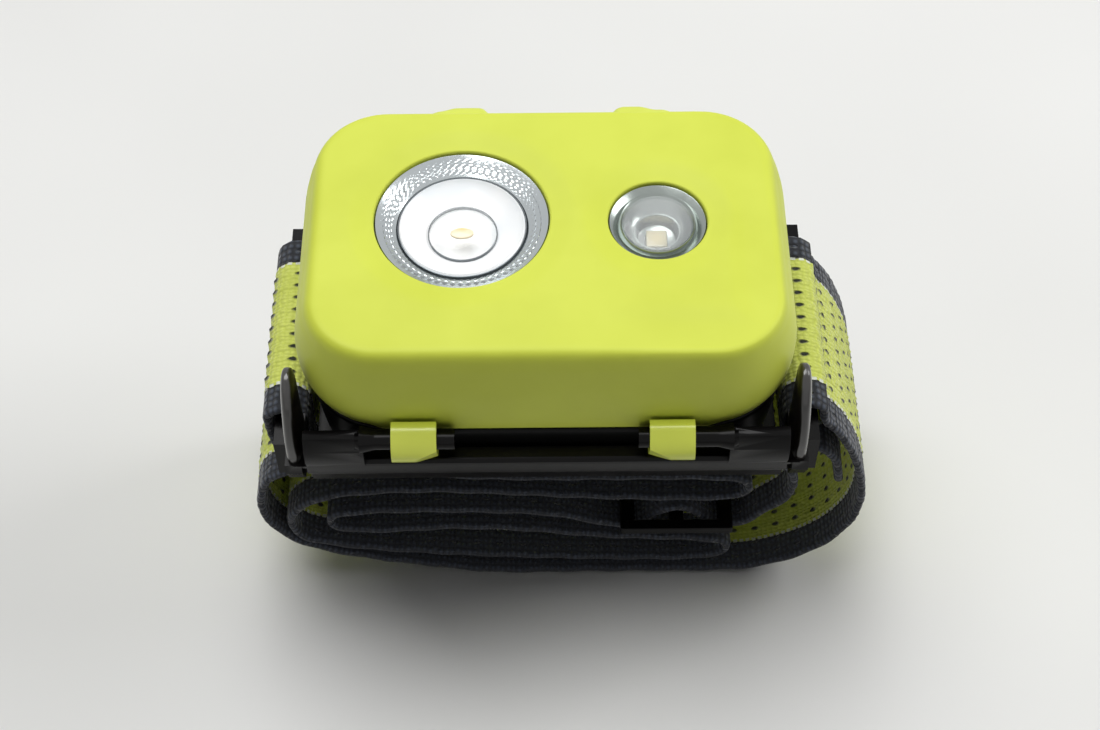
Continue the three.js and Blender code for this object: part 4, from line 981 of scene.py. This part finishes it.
class HEADLAMP_OT_headband(bpy.types.Operator):
    """The knitted headband, folded under the lamp"""

    bl_idname = "headlamp.headband"
    bl_label = "Headband"

    def execute(self, context):
        sizes, colours = context.scene.headlamp_sizes, context.scene.headlamp_colours
        knit = knitted("warp-knitted elastic", colours.navy, colours.navy_highlight, colours.lime, colours.lime_shade_and_patches,
                       "#E4E8DA")
        curve, length = band_route()
        along = np.linspace(0, length[-1], 870)
        middle = np.column_stack([np.interp(along, length, curve[:, k]) for k in range(2)])
        ahead = np.gradient(middle, axis=0)
        ahead /= np.linalg.norm(ahead, axis=1)[:, None]
        # section: flat faces with round edges, as width w and offset n
        inner = STRAP_HALF - EDGE_RADIUS
        flat = np.linspace(-inner, inner, 51)
        bend = np.linspace(-math.pi / 2, math.pi / 2, 6)[1:-1]
        w = np.concatenate([flat, inner + EDGE_RADIUS * np.cos(bend[::-1]), flat[::-1],
                            -inner - EDGE_RADIUS * np.cos(bend)])
        n = np.concatenate([np.full(51, 1.0), np.sin(bend[::-1]), np.full(51, -1.0), np.sin(bend)])
        s, across = np.meshgrid(along, w, indexing="ij")
        half = STRAP_THICK / 2 - 0.06 - 0.12 * (np.abs(across) > SEAM_AT)
        # cables on the lime mesh: a ridge between two rows of holes, with two leaning lumps per hole spacing
        mesh_part = fade((SEAM_AT - 0.4 - np.abs(across)) / 0.8)
        ridge = 0.5 - 0.5 * np.cos((across / HOLE_ACROSS + 0.5) * TAU)
        twist = 0.6 + 0.4 * np.cos((2 * s / HOLE_ALONG + across / HOLE_ACROSS) * TAU)
        border = 0.09 * (1 - mesh_part) * np.cos(s / 1.7 * TAU)
        relief = sizes.lump / MM * mesh_part * (ridge * twist - 0.5) + border - 0.05
        offset = n[None] * (half + relief * np.abs(n)[None])
        x = middle[:, :1] - offset * ahead[:, 1:]
        z = middle[:, 1:] + offset * ahead[:, :1]
        edge = 0.14 * np.sin(s / HOLE_ALONG * TAU * 0.5) * (np.abs(across) > inner) * np.sign(across)
        points = np.stack([x, across + edge * 0.6, z], -1)
        rows, columns = points.shape[:2]
        patch = (points, grid_faces(rows, columns, True), *caps_of(columns, (rows - 1) * columns))
        band = new_object("knitted_headband", [patch], knit, "bracket", ["headband"])
        map_band(band, along, w)
        return {"FINISHED"}


def map_band(band, along, across):
    """Each corner's map holds millimetres along and across the band; vertices run round section by section."""
    mesh = band.data
    index = np.empty(len(mesh.loops), np.int32)
    mesh.loops.foreach_get("vertex_index", index)
    row, column = np.divmod(index, len(across))
    layer = mesh.uv_layers.new(name="along_across")
    layer.data.foreach_set("uv", np.column_stack([along[row], across[column]]).astype(np.float32).ravel())


class HEADLAMP_OT_inside(bpy.types.Operator):
    """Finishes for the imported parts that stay: boards, cells, contacts, seals and screws"""

    bl_idname = "headlamp.inside"
    bl_label = "Inner parts"

    def execute(self, context):
        finishes = {
            # ABS from a textured tool
            "black": moulded("textured black ABS", "#232427", "#1B1C1E", 0.5, 0.4, 0.02),
            # Reflective white polycarbonate
            "white": moulded("white polycarbonate", "#ECECE6", "#E2E2DC", 0.4, 0.6, 0.01),
            # Cured silicone: matt and slightly waxy
            "seal": moulded("black silicone rubber", "#2C2E30", "#26282A", 0.65, 0.3, 0.015),
            "board": printed_board("green solder mask", "#1B5A3A", "#2A7A50"),
            "core": printed_board("white solder mask on aluminium", "#DDDFDC", "#F0F1EE"),
            # Bright nickel over steel
            "nickel": metal("nickel-plated steel", "#C9C6BE", 0.22, 0.25, (0.2, 1, 1)),
            "gold": metal("gold-flashed brass", "#D9AE55", 0.2, 0.3),
            "chip": phosphor("yellow phosphor gel", "#F2CE62", "#F4E3B0", (*SPOT, -9.0), 2.0),
            # Shrink sleeve over steel: satin print without lettering
            "sleeve": moulded("printed shrink sleeve", "#3E4A57", "#35414D", 0.32, 1.5, 0.01, Coat_Weight=0.4),
        }
        wear = {
            "black": ["chassis", "contact_block_left", "contact_block_right", "spot_switch", "flood_switch"],
            "white": ["spot_lens_holder", "flood_lens_holder"],
            "seal": ["spot_lens_seal", "flood_lens_seal", "battery_seal"],
            "board": ["main_board", "switch_board"],
            "core": ["led_board"],
            "nickel": ["cover_hinge_pin"] + ["chassis_screw_%d" % i for i in (1, 2, 3, 4)]
            + ["contact_%s_%d" % (kind, i) for kind in ("spring", "stud") for i in (1, 2, 3)],
            "gold": ["power_pin_minus", "power_pin_plus"],
            "chip": ["spot_led", "flood_led"],
            "sleeve": ["battery_cell_%d" % i for i in (1, 2, 3)],
        }
        for finish, names in wear.items():
            for name in names:
                for slot in bpy.data.objects[name].material_slots:
                    slot.material = finishes[finish]
        return {"FINISHED"}


# ---------------------------------------------------------------- stage

CAMERA_AT = (0.530, -159.650, 191.000)
CAMERA_TILT = 54.4
CAMERA_ROLL = -0.51
FLOOR_HALF = 3.0


class HEADLAMP_OT_stage(bpy.types.Operator):
    """Pale floor, soft light and the camera"""

    bl_idname = "headlamp.stage"
    bl_label = "Stage"

    def execute(self, context):
        mesh = bpy.data.meshes.new("floor")
        corners = [(x * FLOOR_HALF, y * FLOOR_HALF, 0) for x, y in ((-1, -1), (1, -1), (1, 1), (-1, 1))]
        mesh.from_pydata(corners, [], [(0, 1, 2, 3)])
        floor = bpy.data.objects.new("floor", mesh)
        context.scene.collection.objects.link(floor)
        # Matt painted board: pale, with the faintest mottling.
        paint, shader = principled("matt pale board", "#E6E6E4", 0.9)
        where = node(paint, "ShaderNodeTexCoord")
        mottle = node(paint, "ShaderNodeTexNoise", {"Scale": 9.0}, {"Vector": (where, "Object")})
        stops = [(0.3, "#E2E2E0"), (0.7, "#E9E9E7")]
        tint = node(paint, "ShaderNodeValToRGB", {"stops": stops}, {0: (mottle, 0)})
        feed(paint, shader, "Base Color", tint)
        mesh.materials.append(paint)
        self.world(context.scene)
        self.lamps(context.scene)
        self.camera(context.scene)
        context.scene.view_settings.view_transform = "Standard"
        return {"FINISHED"}

    def world(self, scene):
        """Even grey light for the object; white where the camera, a mirror or glass looks past the floor."""
        world = bpy.data.worlds.new("studio")
        world.use_nodes = True
        scene.world = world
        back = world.node_tree.nodes["Background"]
        path = node(world, "ShaderNodeLightPath")
        seen = (path, "Is Camera Ray")
        for ray in ("Is Glossy Ray", "Is Transmission Ray"):
            seen = (node(world, "ShaderNodeMath", {"operation": "MAXIMUM"}, {0: seen, 1: (path, ray)}), 0)
        span = node(world, "ShaderNodeMapRange", {"To Min": 0.08, "To Max": 0.9}, {"Value": seen})
        feed(world, back, "Strength", span)
        back.inputs["Color"].default_value = (1, 1, 1, 1)

    def lamps(self, scene):
        """A large soft box above and a little behind, a smaller one high on the right and a faint one in front."""
        boxes = (
            ("key", (-0.12, 0.16, 0.74), 0.55, 5.0),
            ("side", (0.55, 0.12, 0.45), 0.35, 2.0),
            ("front", (-0.35, -0.5, 0.35), 0.4, 0.05),
        )
        for name, where, size, power in boxes:
            light = bpy.data.lights.new(name, "AREA")
            light.shape = "SQUARE"
            light.size = size
            light.energy = power
            lamp = bpy.data.objects.new(name, light)
            lamp.location = where
            aim = np.array([0, 0, 0.04]) - np.array(where)
            lamp.rotation_euler = direction(aim, 0.0).to_euler()
            scene.collection.objects.link(lamp)

    def camera(self, scene):
        """Camera above the lower edge, looking down 54.4 degrees, with a long lens."""
        data = bpy.data.cameras.new("camera")
        data.sensor_width = 36.0
        data.lens = 61.9
        data.clip_start = 0.01
        eye = bpy.data.objects.new("camera", data)
        tilt = math.radians(CAMERA_TILT)
        eye.location = place(CAMERA_AT)
        aim = (0, math.cos(tilt), -math.sin(tilt))
        eye.rotation_euler = direction(aim, math.radians(CAMERA_ROLL)).to_euler()
        scene.collection.objects.link(eye)
        scene.camera = eye


def direction(aim, roll):
    """The rotation that looks along aim with the top of the view upwards, then rolled about it."""
    back = -Vector(aim).normalized()
    right = Vector((0, 0, 1)).cross(back).normalized()
    up = back.cross(right)
    cos, sin = math.cos(roll), math.sin(roll)
    return Matrix((right * cos + up * sin, up * cos - right * sin, back)).transposed()


# ---------------------------------------------------------------- panel and run


STEPS = ("shell", "buttons", "spot", "flood", "cover", "bracket", "headband", "inside", "stage")


class HEADLAMP_PT_panel(bpy.types.Panel):
    """Lists the sizes, the colours and the steps that build the headlamp"""

    bl_idname = "HEADLAMP_PT_panel"
    bl_label = "Headlamp"
    bl_space_type = "VIEW_3D"
    bl_region_type = "UI"
    bl_category = "Headlamp"

    def draw(self, context):
        for group in (context.scene.headlamp_sizes, context.scene.headlamp_colours):
            for key in group.__annotations__:
                self.layout.prop(group, key)
        for step in STEPS:
            self.layout.operator("headlamp." + step)


CLASSES = (
    HeadlampSizes, HeadlampColours, HEADLAMP_OT_shell, HEADLAMP_OT_buttons, HEADLAMP_OT_spot, HEADLAMP_OT_flood,
    HEADLAMP_OT_cover, HEADLAMP_OT_bracket, HEADLAMP_OT_headband, HEADLAMP_OT_inside, HEADLAMP_OT_stage,
    HEADLAMP_PT_panel,
)


def register():
    for cls in CLASSES:
        bpy.utils.register_class(cls)
    bpy.types.Scene.headlamp_sizes = bpy.props.PointerProperty(type=HeadlampSizes)
    bpy.types.Scene.headlamp_colours = bpy.props.PointerProperty(type=HeadlampColours)


def unregister():
    del bpy.types.Scene.headlamp_colours
    del bpy.types.Scene.headlamp_sizes
    for cls in reversed(CLASSES):
        bpy.utils.unregister_class(cls)


def main():
    register()
    for step in STEPS:
        if getattr(bpy.ops.headlamp, step)() != {"FINISHED"}:
            raise RuntimeError("the step " + step + " did not finish")


if __name__ == "__main__":
    main()
